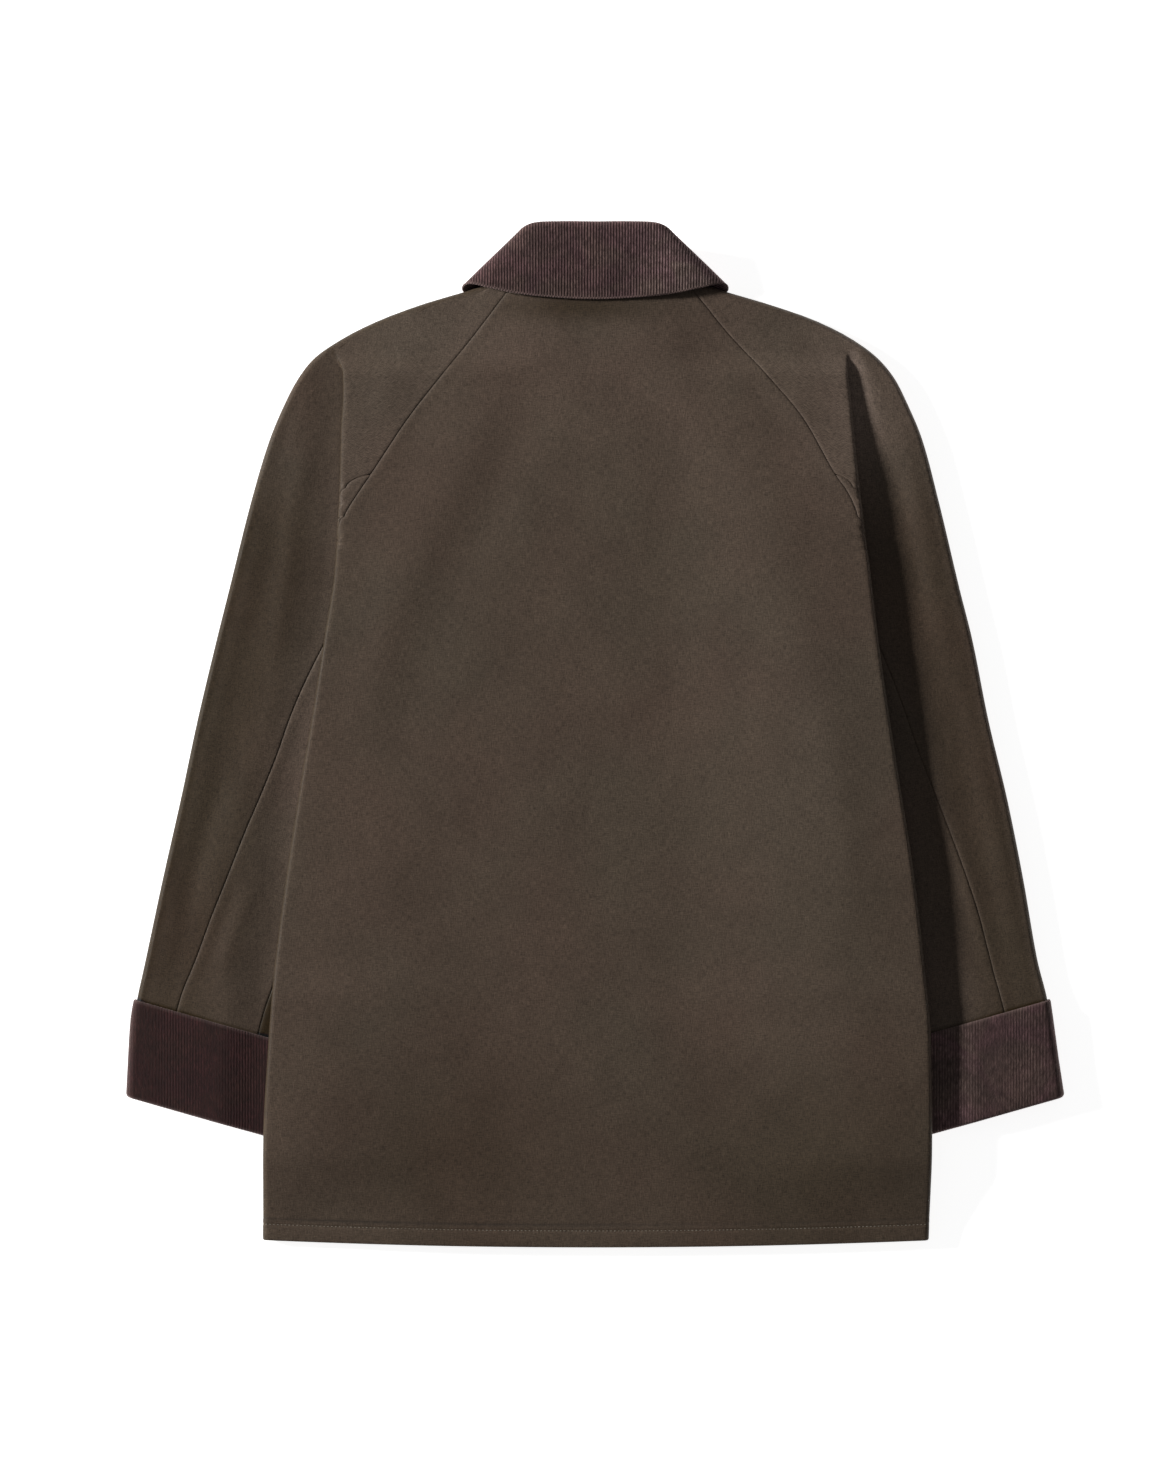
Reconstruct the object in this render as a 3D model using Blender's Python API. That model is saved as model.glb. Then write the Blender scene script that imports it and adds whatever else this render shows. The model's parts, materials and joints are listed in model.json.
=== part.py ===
"""A waxed cotton jacket lying face down on a surface, sleeves brought down beside the body.

The cloth is one wall that folds over itself. It is described by its section at each level: a path
that starts at the centre of the back, runs outwards over the back layer, turns under at the crease,
comes back at the fold, runs out again over the top of the sleeve, turns at the sleeve's outer edge
and returns along the floor to the centre of the front. A place along that path is a number, the
same for every level, so a seam is a place that changes with the level.

Tables are in millimetres. +Y points to the collar, +Z is up, -X is the wearer's left.
"""

from collections import namedtuple
from math import cos, hypot, pi, radians, sin

import bmesh
import bpy
from mathutils import Vector

# ---------------------------------------------------------------- driving sizes, millimetres
MM = 0.001
CLOTH = 1.5
CORDUROY = 2.0
SEAM_GAP = 0.36
GAP_ON_TURNS = 3.6
FLOOR = CLOTH / 2
NECK_LEVEL = 364.4
BACK_NECK_LEVEL = 360.0
FRONT_NECK_LEVEL = 292.0
SHOULDER_NECK_POINT = 75.0
PLEAT_TIP_LEVEL = 306.0
FORK_LEVEL = 208.6
ARMHOLE_MEETS_CREASE = 172.0
SLEEVE_SEAM_MEETS_CREASE = 196.0
UNDERARM_LEVEL = 115.4
HEM_LEVEL = -410.0
HEM_CORNER_RISE = 5.5
HEM_HALF_WIDTH = 265.0
CUFF_TOP_LEVEL = -213.0
CUFF_BOTTOM_LEVEL = -290.0
CUFF_INSIDE_TURN = 12.0
CUFF_ROW_LEVELS = (CUFF_TOP_LEVEL, -238.0, -264.0)
CUFF_STANDOFF = CLOTH / 2 + 0.6 + CORDUROY / 2
FOLD_RADIUS = 1.8
UNDERARM_LIFT = 6.0
UNDERARM_CLEARANCE = 2.6
PRESSED_SLEEVE = 9.5
TROUGH_DEPTH = 3.2
TROUGH_LOST_AT_CUFF = 0.7
UNDER_SLEEVE_TIP = 0.9  # the under sleeve starts this far below the fork
BUTTON_RADIUS = 9.0
BUTTON_THICKNESS = 3.0
BUTTON_LEVELS = (262.0, 122.0, -18.0, -158.0, -298.0)
FRONT_OVERLAP = 25.0
PLACKET_RISE = BUTTON_THICKNESS + 0.35
RIGHT_FRONT_RISE = PLACKET_RISE + CLOTH + 0.45
COLLAR_LIFT = CORDUROY + 0.9
COLLAR_ROLL_RADIUS = 2.6
COLLAR_ROLL_LENGTH = 6.0
COLLAR_SEAM_GAP = 1.3
LEAF_ON_FLOOR = CORDUROY / 2 + 0.05

# ---------------------------------------------------------------- places along the section path
CENTRE_BACK = 0.0
CREASE = 1.0
FOLD = 2.0
OUTER = 3.0
FRONT_SEAM = 4.0
CENTRE_FRONT = 5.0
TURN = 0.1  # a turn takes this much of the path on each side of its place

# ---------------------------------------------------------------- tables, a row for each level
Sides = namedtuple("Sides", "level left right")
Back = namedtuple("Back", "level middle ramp_foot ramp_top")
Pleat = namedtuple("Pleat", "level opening roll_radius")
Height = namedtuple("Height", "level height")
Tilt = namedtuple("Tilt", "level slope")
Collar = namedtuple(
    "Collar", "roll_x roll_y roll_z edge_x edge_y edge_z seam_x seam_y seam_z bulge inward_angle"
)

# half-width of the whole outline: shoulder, then the sleeve's outer edge
OUTLINE = [
    Sides(366, 76, 76),
    Sides(360, 86, 86),
    Sides(354, 103, 103),
    Sides(350, 117, 117),
    Sides(346, 131, 131),
    Sides(331.4, 171.4, 174.2),
    Sides(315.4, 203.4, 206),
    Sides(299.4, 225.8, 227),
    Sides(283.4, 238, 239.8),
    Sides(267.4, 246.6, 248),
    Sides(235.4, 260.2, 261.4),
    Sides(187.4, 274.6, 274.2),
    Sides(115.4, 292.6, 291.4),
    Sides(75.4, 302.6, 301.4),
    Sides(11.4, 317.8, 314.2),
    Sides(-52.6, 331.4, 329.4),
    Sides(-116.6, 345.8, 342.2),
    Sides(-180.6, 359.4, 353.4),
    Sides(-212.6, 366.2, 361.2),
    Sides(-228.6, 369, 363.6),
    Sides(-260.6, 371, 368),
    Sides(-292, 372.6, 372.8),
]
# half-width of the body: the crease below the shoulder, then the rolled side edge
BODY_EDGE = [
    Sides(307, 212, 205),
    Sides(299.4, 205.4, 201.5),
    Sides(287.4, 201, 201.4),
    Sides(273, 201, 203.4),
    Sides(243.4, 202.6, 206.2),
    Sides(209.8, 203.4, 209.4),
    Sides(161.8, 205.8, 215),
    Sides(131.4, 207.6, 219),
    Sides(75.4, 216.2, 225.6),
    Sides(13.8, 225.8, 234.4),
    Sides(-36.6, 234.4, 242.2),
    Sides(-111, 245.8, 253.8),
    Sides(-191, 256.2, 263),
    Sides(-244.6, 260.4, 267.4),
    Sides(-324.6, 264.6, 268.4),
    Sides(-412, 265.4, 266.2),
]
# half-width at the hidden fold above the underarm, and at the sleeve's hidden inner edge below it
INNER_EDGE = [
    Sides(300, 201, 199),
    Sides(283, 196, 196),
    Sides(UNDERARM_LEVEL, 116.2, 120),
    Sides(-5.4, 153, 156),
    Sides(-123.8, 183.4, 186),
    Sides(-254.2, 218.6, 219),
    Sides(-331, 232.2, 232.2),
    Sides(-412, 236, 236),
]
# half-width of the raglan seam on the back, then of the armhole seam below its fork
BACK_SEAM = [
    Sides(360, 66, 74),
    Sides(347.4, 75.4, 84.6),
    Sides(321, 95.4, 106),
    Sides(289, 121, 135.6),
    Sides(252.2, 149.8, 166.4),
    Sides(FORK_LEVEL, 178.6, 191),
    Sides(192.2, 189.8, 202.2),
    Sides(176.2, 199.6, 209),
    Sides(ARMHOLE_MEETS_CREASE, 201.2, 210),
]
# the armhole seam as a place, round the crease and in to the underarm
ARMHOLE_PLACE = [
    Sides(ARMHOLE_MEETS_CREASE, CREASE - TURN, CREASE - TURN),
    Sides(158, CREASE + TURN, CREASE + TURN),
    Sides(UNDERARM_LEVEL, 2.0, 2.0),
]
# half-width of the seam between top and under sleeve from the fork to the crease
SLEEVE_SEAM = [
    Sides(FORK_LEVEL, 178.6, 191),
    Sides(204.8, 190.4, 199),
    Sides(200.5, 197, 204),
    Sides(SLEEVE_SEAM_MEETS_CREASE, 200, 206.4),
]
# the same seam where it is a place on the folded layers and on the sleeve
SLEEVE_SEAM_PLACE = [
    Sides(SLEEVE_SEAM_MEETS_CREASE, CREASE - TURN, CREASE - TURN),
    Sides(186, CREASE + TURN, CREASE + TURN),
    Sides(165, FOLD - TURN, FOLD - TURN),
    Sides(150, FOLD + TURN, FOLD + TURN),
    Sides(UNDERARM_LEVEL, 2.43, 2.4),
    Sides(78, 2.5, 2.47),
    Sides(13, 2.57, 2.53),
    Sides(-53, 2.64, 2.6),
    Sides(-135, 2.74, 2.68),
    Sides(-215, 2.8, 2.75),
    Sides(-292, 2.82, 2.78),
]
# the under sleeve's other seam, from the underarm to the cuff, as a place on the sleeve
INNER_SLEEVE_SEAM_PLACE = [
    Sides(UNDERARM_LEVEL, 2.0, 2.0),
    Sides(88, 2.1, 2.1),
    Sides(0, 2.22, 2.2),
    Sides(-135, 2.32, 2.3),
    Sides(-215, 2.37, 2.36),
    Sides(-292, 2.38, 2.38),
]
# the side seam under the body, as a place: from the underarm out to just under the edge
SIDE_SEAM_PLACE = [
    Sides(UNDERARM_LEVEL, 2.0, 2.0),
    Sides(30, 1.76, 1.76),
    Sides(-52, 1.54, 1.54),
    Sides(-132, 1.3, 1.3),
    Sides(-210, 1.18, 1.18),
    Sides(-412, 1.14, 1.14),
]
# half-width of the front: neck curve of the sleeve, then the front raglan seam to the underarm
FRONT_RAGLAN = [
    Sides(366, 75, 75),
    Sides(357, 72.5, 72.5),
    Sides(346, 66, 66),
    Sides(330, 73, 73),
    Sides(300, 86, 86),
    Sides(255, 101, 101.5),
    Sides(205, 111, 112.5),
    Sides(160, 114.4, 117.4),
    Sides(135, 114.4, 118),
    Sides(UNDERARM_LEVEL, 114.2, 118),
]
# half-width of the neck curve on the fronts
FRONT_NECK = [
    Sides(346, 64.5, 64.5),
    Sides(337, 58.6, 58.6),
    Sides(319, 45.8, 45.8),
    Sides(304, 31.5, 31.5),
    Sides(297, 17, 17),
    Sides(FRONT_NECK_LEVEL, -FRONT_OVERLAP, -FRONT_OVERLAP),
]
# the back layer: height in the middle, and the half-widths between which it climbs over the sleeve
BACK_LAYER = [
    Back(366, 16.5, 20, 90),
    Back(340, 16.5, 26, 110),
    Back(297, 15.2, 34, 120),
    Back(230, 14, 56, 140),
    Back(167, 13.4, 72, 156),
    Back(100, 13.2, 84, 168),
    Back(33, 13, 100, 184),
    Back(-72, 13, 124, 202),
    Back(-180, 13, 146, 222),
    Back(-290, 13, 160, 238),
    Back(-360, 12.9, 152, 244),
    Back(-412, 12.6, 146, 246),
]
# how far the pleat has turned over (1 is flat under itself), and the radius of the edge's roll
PLEAT = [
    Pleat(306, 0.1, 2.4),
    Pleat(299, 0.4, 2.4),
    Pleat(291, 0.78, 2.6),
    Pleat(283, 1, 2.8),
    Pleat(200, 1, 3.6),
    Pleat(UNDERARM_LEVEL, 1, 4.6),
    Pleat(20, 1, 5.8),
    Pleat(-80, 1, 6.2),
    Pleat(-240, 1, 5.6),
    Pleat(-330, 1, 5.2),
    Pleat(-412, 1, 4.4),
]
# height of the sleeve's top layer where the body presses on it, and at its free outer part
SLEEVE_UNDER_BODY = [
    Height(366, 12),
    Height(306, 13),
    Height(291, 11.5),
    Height(260, 10),
    Height(200, PRESSED_SLEEVE),
    Height(-190, PRESSED_SLEEVE),
    Height(-216, 10.6),
    Height(-300, 11),
]
SLEEVE_FREE = [
    Height(366, 13.5),
    Height(300, 14.5),
    Height(100, 15.5),
    Height(-120, 16),
    Height(-216, 17.5),
    Height(-300, 17.5),
]
# height of the sleeve's bottom layer: raised where the cuff lies under it
SLEEVE_BOTTOM = [
    Height(366, FLOOR),
    Height(-185, FLOOR),
    Height(-212, CORDUROY / 2 + CUFF_STANDOFF),
    Height(-300, CORDUROY / 2 + CUFF_STANDOFF),
]
# height of the body's under layer where it passes over the sleeve, and past the cuff
BODY_OVER_SLEEVE = [
    Height(UNDERARM_LEVEL, PRESSED_SLEEVE + 2 * FOLD_RADIUS),
    Height(-100, 13.1),
    Height(-180, 13.3),
    Height(-212, 15.7),
    Height(-336, 15.8),
    Height(-364, 10.5),
    Height(-392, 5),
    Height(-412, 3),
]
# how far the sleeve's inner edge lies below its outer edge on a row of the sleeve
SLEEVE_TILT = [
    Tilt(UNDERARM_LEVEL, 0.0),
    Tilt(0, 0.12),
    Tilt(-100, 0.22),
    Tilt(-200, 0.285),
    Tilt(-300, 0.285),
]
# levels of the rows that all panels share
SHOULDER_LEVELS = [NECK_LEVEL, 362.5, 360, 356, 351, 346, 338, 327, 315, 306]
PLEAT_LEVELS = [299, 291, 283, 268, 240, FORK_LEVEL]
FORK_LEVELS = [205, 200.5, 196, 191, 186, 179, 172, 168.5, 165, 161.5, 158, 150, 141, 128]
BODY_LEVELS = [96, 56, 8, -45, -95, -145, -190, -214, -265, -316, -337, -358, -380, -397, -410]
# each front is one cut piece but three solids, one below the other, parted at these levels
FRONT_PARTS = {"chest": (346, 100), "waist": (100, -150), "hem": (-150, -411)}
SLEEVE_FORK_LEVELS = sorted([*FORK_LEVELS, 193.5, 188.5, 154, 146], reverse=True)
FRONT_SEAM_LEVELS = [200.5, 186, 172, 158, 150, 141, 128]
SLEEVE_LEVELS = [107, 99, 88, 74, 40, -5, -50, -100, -150, -190, -212, -248, -285]

# the collar from the centre back to the centre front: its roll line, outer edge and neck seam, how
# far the leaf swells outwards, and the direction into the collar, in degrees from straight down
COLLAR = [
    Collar(0, 408.04, 38, 0, 348.4, 19.6, 0, 360.5, 17.4, 1.6, 0),
    Collar(27, 408.44, 38, 53, 350, 20, 33, 360.5, 17.4, 1.6, 0),
    Collar(46, 407.64, 37, 84, 354, 19.8, 57, 360.8, 17, 1.4, 14),
    Collar(55, 404.54, 31, 97, 356.8, 17, 66.2, 364.4, 15.4, 1, 45),
    Collar(58.2, 401.24, 23, 104, 357.6, 12.5, 72.2, 366.9, 11.8, 0.8, 72),
    Collar(58.6, 398.54, 14.5, 105.8, 356.4, 7, 73.6, 367.4, 7.8, 0.5, 96),
    Collar(56.8, 393.04, 4.6, 102, 349.4, 1, 72.5, 362.5, 4.9, 0, 150),
    Collar(50.5, 382.04, 1.6, 98, 326, 1, 66.5, 351, 4.1, 0, 178),
    Collar(40.5, 360.04, 1.2, 91, 296, 1, 57, 336, 4, 0, 180),
    Collar(28, 338.04, 1.2, 79, 268, 1, 44.5, 319.5, 4, 0, 180),
    Collar(15, 321.04, 1.2, 66, 250, 1, 30, 305, 4, 0, 180),
    Collar(7, 313.04, 1.2, 38, 266, 1, 16, 298.5, 4.1, 0, 180),
]

# ---------------------------------------------------------------- finishes
Finish = namedtuple("Finish", "colour roughness")
WAXED_COTTON = Finish((0.067, 0.05, 0.037), 0.62)
CORDUROY_PILE = Finish((0.052, 0.03, 0.028), 0.92)
BUTTON_RESIN = Finish((0.03, 0.02, 0.014), 0.35)


def finish_material(name, finish):
    """A material with the finish's colour, roughness and no metal."""
    material = bpy.data.materials.get(name) or bpy.data.materials.new(name)
    material.use_nodes = True
    shader = material.node_tree.nodes["Principled BSDF"]
    shader.inputs["Base Color"].default_value = (*finish.colour, 1.0)
    shader.inputs["Roughness"].default_value = finish.roughness
    shader.inputs["Metallic"].default_value = 0.0
    return material


# ---------------------------------------------------------------- reading the tables
def blend(low, high, at):
    """0 below low, 1 above high, and a soft step between them."""
    share = min(max((at - low) / (high - low), 0.0), 1.0)
    return share * share * (3 - 2 * share)


def read(table, column, level):
    """A column's value at a level, on a smooth curve through the rows that never overshoots them."""
    rows = sorted(table)
    levels = [row.level for row in rows]
    values = [getattr(row, column) for row in rows]
    if level <= levels[0]:
        return values[0]
    if level >= levels[-1]:
        return values[-1]
    steps = [b - a for a, b in zip(levels, levels[1:])]
    rises = [(b - a) / step for a, b, step in zip(values, values[1:], steps)]
    slopes = [rises[0]]
    for before, after in zip(rises, rises[1:]):
        slopes.append(2 * before * after / (before + after) if before * after > 0 else 0.0)
    slopes.append(rises[-1])
    k = max(i for i, low in enumerate(levels[:-1]) if low <= level)
    step = steps[k]
    t = (level - levels[k]) / step
    return (
        values[k] * (2 * t**3 - 3 * t**2 + 1)
        + slopes[k] * step * (t**3 - 2 * t**2 + t)
        + values[k + 1] * (3 * t**2 - 2 * t**3)
        + slopes[k + 1] * step * (t**3 - t**2)
    )


def between(pairs, at, key, value):
    """Straight-line reading of pairs by one of their two fields, in whichever order they run."""
    rows = sorted(pairs, key=key)
    for low, high in zip(rows, rows[1:]):
        if key(low) <= at <= key(high):
            span = key(high) - key(low)
            share = (at - key(low)) / span if span else 0.0
            return value(low) + (value(high) - value(low)) * share
    return value(rows[0]) if at < key(rows[0]) else value(rows[-1])


# ---------------------------------------------------------------- heights of the layers
def collar_lift(across, level):
    """How far the front layer is raised by the collar leaf that lies under it."""
    return COLLAR_LIFT * blend(222, 244, level) * (1 - blend(126, 160, across))


def underarm_lift(side, across, level):
    """How far the floor layer rises to the underarm point, where four seams meet."""
    away = hypot(across - read(FRONT_RAGLAN, side, UNDERARM_LEVEL), level - UNDERARM_LEVEL)
    return UNDERARM_LIFT * (1 - blend(0, 14, away))


def sleeve_height(side, across, level):
    """Height of the sleeve's top layer: pressed under the body, fuller beside it, with a long trough."""
    pressed = read(SLEEVE_UNDER_BODY, "height", level)
    free = read(SLEEVE_FREE, "height", level)
    outer = read(OUTLINE, side, level)
    beside = blend(2, 40, across - read(BODY_EDGE, side, level))
    trough = blend(60, 36, outer - across) * blend(8, 24, outer - across)
    depth = TROUGH_DEPTH * blend(285, 215, level) * (1 - TROUGH_LOST_AT_CUFF * blend(-150, -215, level))
    return pressed + (free - pressed) * beside - depth * trough * beside


def body_edge_height(side, level):
    """Height of the back layer where its edge begins to turn under."""
    turn = pi * read(PLEAT, "opening", level)
    radius = read(PLEAT, "roll_radius", level)
    if level > UNDERARM_LEVEL:
        below = sleeve_height(side, read(BODY_EDGE, side, level), level)
        return below + (radius + FOLD_RADIUS) * (1 - cos(turn))
    return read(BODY_OVER_SLEEVE, "height", level) + 2 * radius


def back_height(side, across, level):
    """Height of the back layer: level in the middle, climbing over the hidden sleeve to the edge."""
    middle = read(BACK_LAYER, "middle", level)
    climb = blend(read(BACK_LAYER, "ramp_foot", level), read(BACK_LAYER, "ramp_top", level), across)
    if level > PLEAT_TIP_LEVEL:
        edge = sleeve_height(side, read(OUTLINE, side, level), level)
    else:
        edge = body_edge_height(side, level)
    return middle + (edge - middle) * climb


def front_height(side, across, level):
    """Height of the front: on the floor, over the sleeve, over the collar and over the buttons."""
    if level > UNDERARM_LEVEL:
        rise = max(collar_lift(across, level), underarm_lift(side, across, level))
    else:
        inner = read(INNER_EDGE, side, level)
        over = read(BODY_OVER_SLEEVE, "height", level) - FLOOR
        rise = max(over * blend(inner - 34, inner - 2, across), underarm_lift(side, across, level))
    if side == "left":
        rise = max(rise, PLACKET_RISE * (1 - blend(FRONT_OVERLAP - 1, 42, across)))
    else:
        rise = max(rise, RIGHT_FRONT_RISE * (1 - blend(FRONT_OVERLAP + 7, 66, across)))
    return FLOOR + rise


# ---------------------------------------------------------------- the section path
Station = namedtuple("Station", "place across level height")


def steps(first, last, count):
    """count + 1 numbers from first to last."""
    return [first + (last - first) * k / count for k in range(count + 1)]


def hem_level(across, level):
    """The hem is a little higher at its corners than in the middle."""
    return level + HEM_CORNER_RISE * (across / HEM_HALF_WIDTH) ** 2 * blend(-300, HEM_LEVEL, level)


def back_layer(side, level, reach):
    """Stations from the centre back out to reach, where the layer begins to turn."""
    shares = [0, 0.18, 0.34, 0.48, 0.61, 0.74, 0.87, 1]
    return [
        Station((CREASE - TURN) * share, reach * share, hem_level(reach * share, level),
                back_height(side, reach * share, level))
        for share in shares
    ]


def arc(place_from, place_to, centre, radii, angles, level, count):
    """Stations round a turn: angles are measured from straight up, clockwise as seen from the hem."""
    (across, height), (wide, tall) = centre, radii
    return [
        Station(place, across + wide * sin(angle), level, height + tall * cos(angle))
        for place, angle in zip(steps(place_from, place_to, count), steps(*angles, count))
    ]


def pleat(side, level):
    """Stations round the crease, in under the back layer to the fold, and round the fold."""
    radius = read(PLEAT, "roll_radius", level)
    turn = pi * read(PLEAT, "opening", level)
    edge = read(BODY_EDGE, side, level)
    top = body_edge_height(side, level)
    crease = arc(CREASE - TURN, CREASE + TURN, (edge - radius, top - radius), (radius, radius),
                 (0, turn), level, 4)
    last = crease[-1]
    start_across, start_height = last.across, last.height
    layer = []
    if turn > 0.99 * pi:
        start_across = read(INNER_EDGE, side, level) + FOLD_RADIUS
        shares = (0.33, 0.67)
        layer = [
            Station(CREASE + TURN + (1 - 2 * TURN) * share,
                    last.across + (start_across - last.across) * share, level, start_height)
            for share in shares
        ]
    centre = (start_across + FOLD_RADIUS * sin(turn), start_height + FOLD_RADIUS * cos(turn))
    fold = [
        Station(place, centre[0] - FOLD_RADIUS * sin(angle), level, centre[1] - FOLD_RADIUS * cos(angle))
        for place, angle in zip(steps(FOLD - TURN, FOLD + TURN, 4), steps(turn, 0, 4))
    ]
    return crease + layer + fold


def outer_turn(side, level, top, bottom, outer, room):
    """Stations round the outer edge, from the top layer down to the bottom one."""
    tall = (top - bottom) / 2
    slope = (read(OUTLINE, side, level - 2) - read(OUTLINE, side, level + 2)) / 4
    wide = min(tall * hypot(1, slope), 0.6 * room)
    return arc(OUTER - TURN, OUTER + TURN, (outer - wide, bottom + tall), (wide, tall), (0, pi), level, 4)


def upper_section(side, level):
    """The whole path at a level above the underarm, where body and sleeve are still one."""
    outer = read(OUTLINE, side, level)
    seam = read(FRONT_RAGLAN, side, level)
    bottom = FLOOR + collar_lift(outer, level)
    has_pleat = level < PLEAT_TIP_LEVEL
    turned = pleat(side, level) if has_pleat else []
    start = turned[-1].across if has_pleat else 0.0
    top = sleeve_height(side, outer, level)
    outside = outer_turn(side, level, top, bottom, outer, outer - start - 2 if has_pleat else outer - seam)
    path = back_layer(side, level, turned[0].across if has_pleat else outside[0].across)
    if has_pleat:
        path = path[:-1] + turned
        for share in (0.25, 0.5, 0.75):
            across = start + (outside[0].across - start) * share
            eased = turned[-1].height - sleeve_height(side, start, level)
            height = sleeve_height(side, across, level) + eased * (1 - share)
            path.append(Station(FOLD + TURN + (1 - 2 * TURN) * share, across, level, height))
        path += outside
    else:
        path = path[:-1] + outside
    for share in (0.3, 0.65, 1):
        across = outside[-1].across + (seam - outside[-1].across) * share
        lift = max(collar_lift(across, level), underarm_lift(side, across, level))
        place = OUTER + TURN + (1 - TURN) * share
        path.append(Station(place, across, level, FLOOR + lift))
    return path + front_layer(side, level, seam)[1:]


def front_layer(side, level, start):
    """Stations from the front seam, or the sleeve's inner edge, in past the centre front."""
    stops = [start, start - 11, start - 23, start - 34]
    last = -FRONT_OVERLAP
    if level > FRONT_NECK_LEVEL:
        last = read(FRONT_NECK, side, level)
        stops = steps(start, last, 3)[:-1]
    else:
        stops += [stop for stop in ((start + 30) / 2, 64, 45, 32, 24) if stop < start - 38]
    stops = [stop for stop in stops if stop > last + 2 or stop == start] + [last]
    return [
        Station(FRONT_SEAM + (start - across) / (start + FRONT_OVERLAP), across,
                hem_level(across, level), front_height(side, across, level))
        for across in stops
    ]


def body_section(side, level):
    """The body's path below the underarm: back layer, rolled edge, and in again over the sleeve."""
    edge = read(BODY_EDGE, side, level)
    radius = read(PLEAT, "roll_radius", level)
    top = body_edge_height(side, level)
    inner = read(INNER_EDGE, side, level)
    path = back_layer(side, level, edge - radius)[:-1]
    roll = arc(CREASE - TURN, CREASE + TURN, (edge - radius, top - radius), (radius, radius),
               (0, pi), level, 5)
    path += [station._replace(level=hem_level(station.across, level)) for station in roll]
    for share in (0.33, 0.67):
        across = edge - radius + (inner - edge + radius) * share
        place = CREASE + TURN + (1 - TURN) * share
        path.append(Station(place, across, hem_level(across, level), front_height(side, across, level)))
    return path + front_layer(side, level, inner)


def sleeve_ring(side, level, grow=0.0):
    """The sleeve's closed path below the underarm, from its inner edge over the top and back below."""
    slope = read(SLEEVE_TILT, "slope", level)
    outer = read(OUTLINE, side, level)
    inner = read(INNER_EDGE, side, level)
    for _ in range(4):
        inner = read(INNER_EDGE, side, level - slope * (outer - inner))

    def at(place, across, height):
        return Station(place, across, level - slope * (outer - across), height)

    def top(across):
        return sleeve_height(side, across, level - slope * (outer - across))

    bottom = read(SLEEVE_BOTTOM, "height", level)
    inner_tall = (top(inner) - bottom) / 2
    inner_centre = bottom + inner_tall
    outer_tall = (top(outer) - bottom) / 2
    slant = (read(OUTLINE, side, level - 2) - read(OUTLINE, side, level + 2)) / 4
    outer_wide = outer_tall * hypot(1, slant)
    path = []
    for place, angle in zip(steps(FOLD, FOLD + TURN, 2), steps(-pi / 2, 0, 2)):
        across = inner + inner_tall + (inner_tall + grow) * sin(angle)
        path.append(at(place, across, inner_centre + (inner_tall + grow) * cos(angle)))
    first, last = inner + inner_tall, outer - outer_wide
    for share in (0.25, 0.5, 0.75):
        across = first + (last - first) * share
        path.append(at(FOLD + TURN + (1 - 2 * TURN) * share, across, top(across) + grow))
    for place, angle in zip(steps(OUTER - TURN, OUTER + TURN, 4), steps(0, pi, 4)):
        across = outer - outer_wide + (outer_wide + grow) * sin(angle)
        path.append(at(place, across, bottom + outer_tall + (outer_tall + grow) * cos(angle)))
    for share in (0.33, 0.67):
        across = last + (first - last) * share
        path.append(at(OUTER + TURN + (1 - 2 * TURN) * share, across, bottom - grow))
    for place, angle in zip(steps(FRONT_SEAM - TURN, FRONT_SEAM, 2), steps(-pi, -pi / 2, 2)):
        across = inner + inner_tall + (inner_tall + grow) * sin(angle)
        path.append(at(place, across, inner_centre + (inner_tall + grow) * cos(angle)))
    return path


def section(side, level):
    """The path that holds the body's panels at a level."""
    return upper_section(side, level) if level > UNDERARM_LEVEL else body_section(side, level)


# ---------------------------------------------------------------- the seams
def place_on_back(side, level, across):
    """The place on the back layer that lies this far from the centre."""
    path = [station for station in section(side, level) if station.place <= CREASE - TURN]
    return between(path, across, lambda s: s.across, lambda s: s.place)


def back_seam(side, level):
    """Raglan seam, armhole seam and side seam, down the back's edge."""
    if level >= ARMHOLE_MEETS_CREASE:
        return place_on_back(side, level, read(BACK_SEAM, side, level))
    if level > UNDERARM_LEVEL:
        return read(ARMHOLE_PLACE, side, level)
    return read(SIDE_SEAM_PLACE, side, level)


def sleeve_seam(side, level):
    """The seam between top and under sleeve, from the fork to the cuff."""
    if level >= FORK_LEVEL:
        return back_seam(side, level)
    if level >= SLEEVE_SEAM_MEETS_CREASE:
        return place_on_back(side, level, read(SLEEVE_SEAM, side, level))
    return read(SLEEVE_SEAM_PLACE, side, level)


def inner_seam(side, level):
    """The under sleeve's seam that starts at the underarm."""
    return read(INNER_SLEEVE_SEAM_PLACE, side, level)


def front_end(side, level):
    """Where the front stops: at the neck curve, or past the centre front."""
    if level <= FRONT_NECK_LEVEL:
        return CENTRE_FRONT
    start = read(FRONT_RAGLAN, side, level)
    return FRONT_SEAM + (start - read(FRONT_NECK, side, level)) / (start + FRONT_OVERLAP)


def point(station):
    """A station as a point, in millimetres."""
    return Vector((station.across, station.level, station.height))


def station_at(path, place):
    """The station at a place, between the two that stand on either side of it."""
    path = sorted(path, key=lambda s: s.place)
    if place <= path[0].place:
        return path[0]._replace(place=place)
    for low, high in zip(path, path[1:]):
        if low.place <= place <= high.place:
            span = high.place - low.place
            share = (place - low.place) / span if span else 0.0
            found = point(low).lerp(point(high), share)
            return Station(place, *found)
    return path[-1]._replace(place=place)


def drawn_back(ends, towards, distance):
    """A station moved along the path towards its neighbour."""
    gap = point(towards) - point(ends)
    share = min(distance / max(gap.length, 0.001), 0.9)
    place = ends.place + (towards.place - ends.place) * share
    return Station(place, *point(ends).lerp(point(towards), share))


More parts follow.
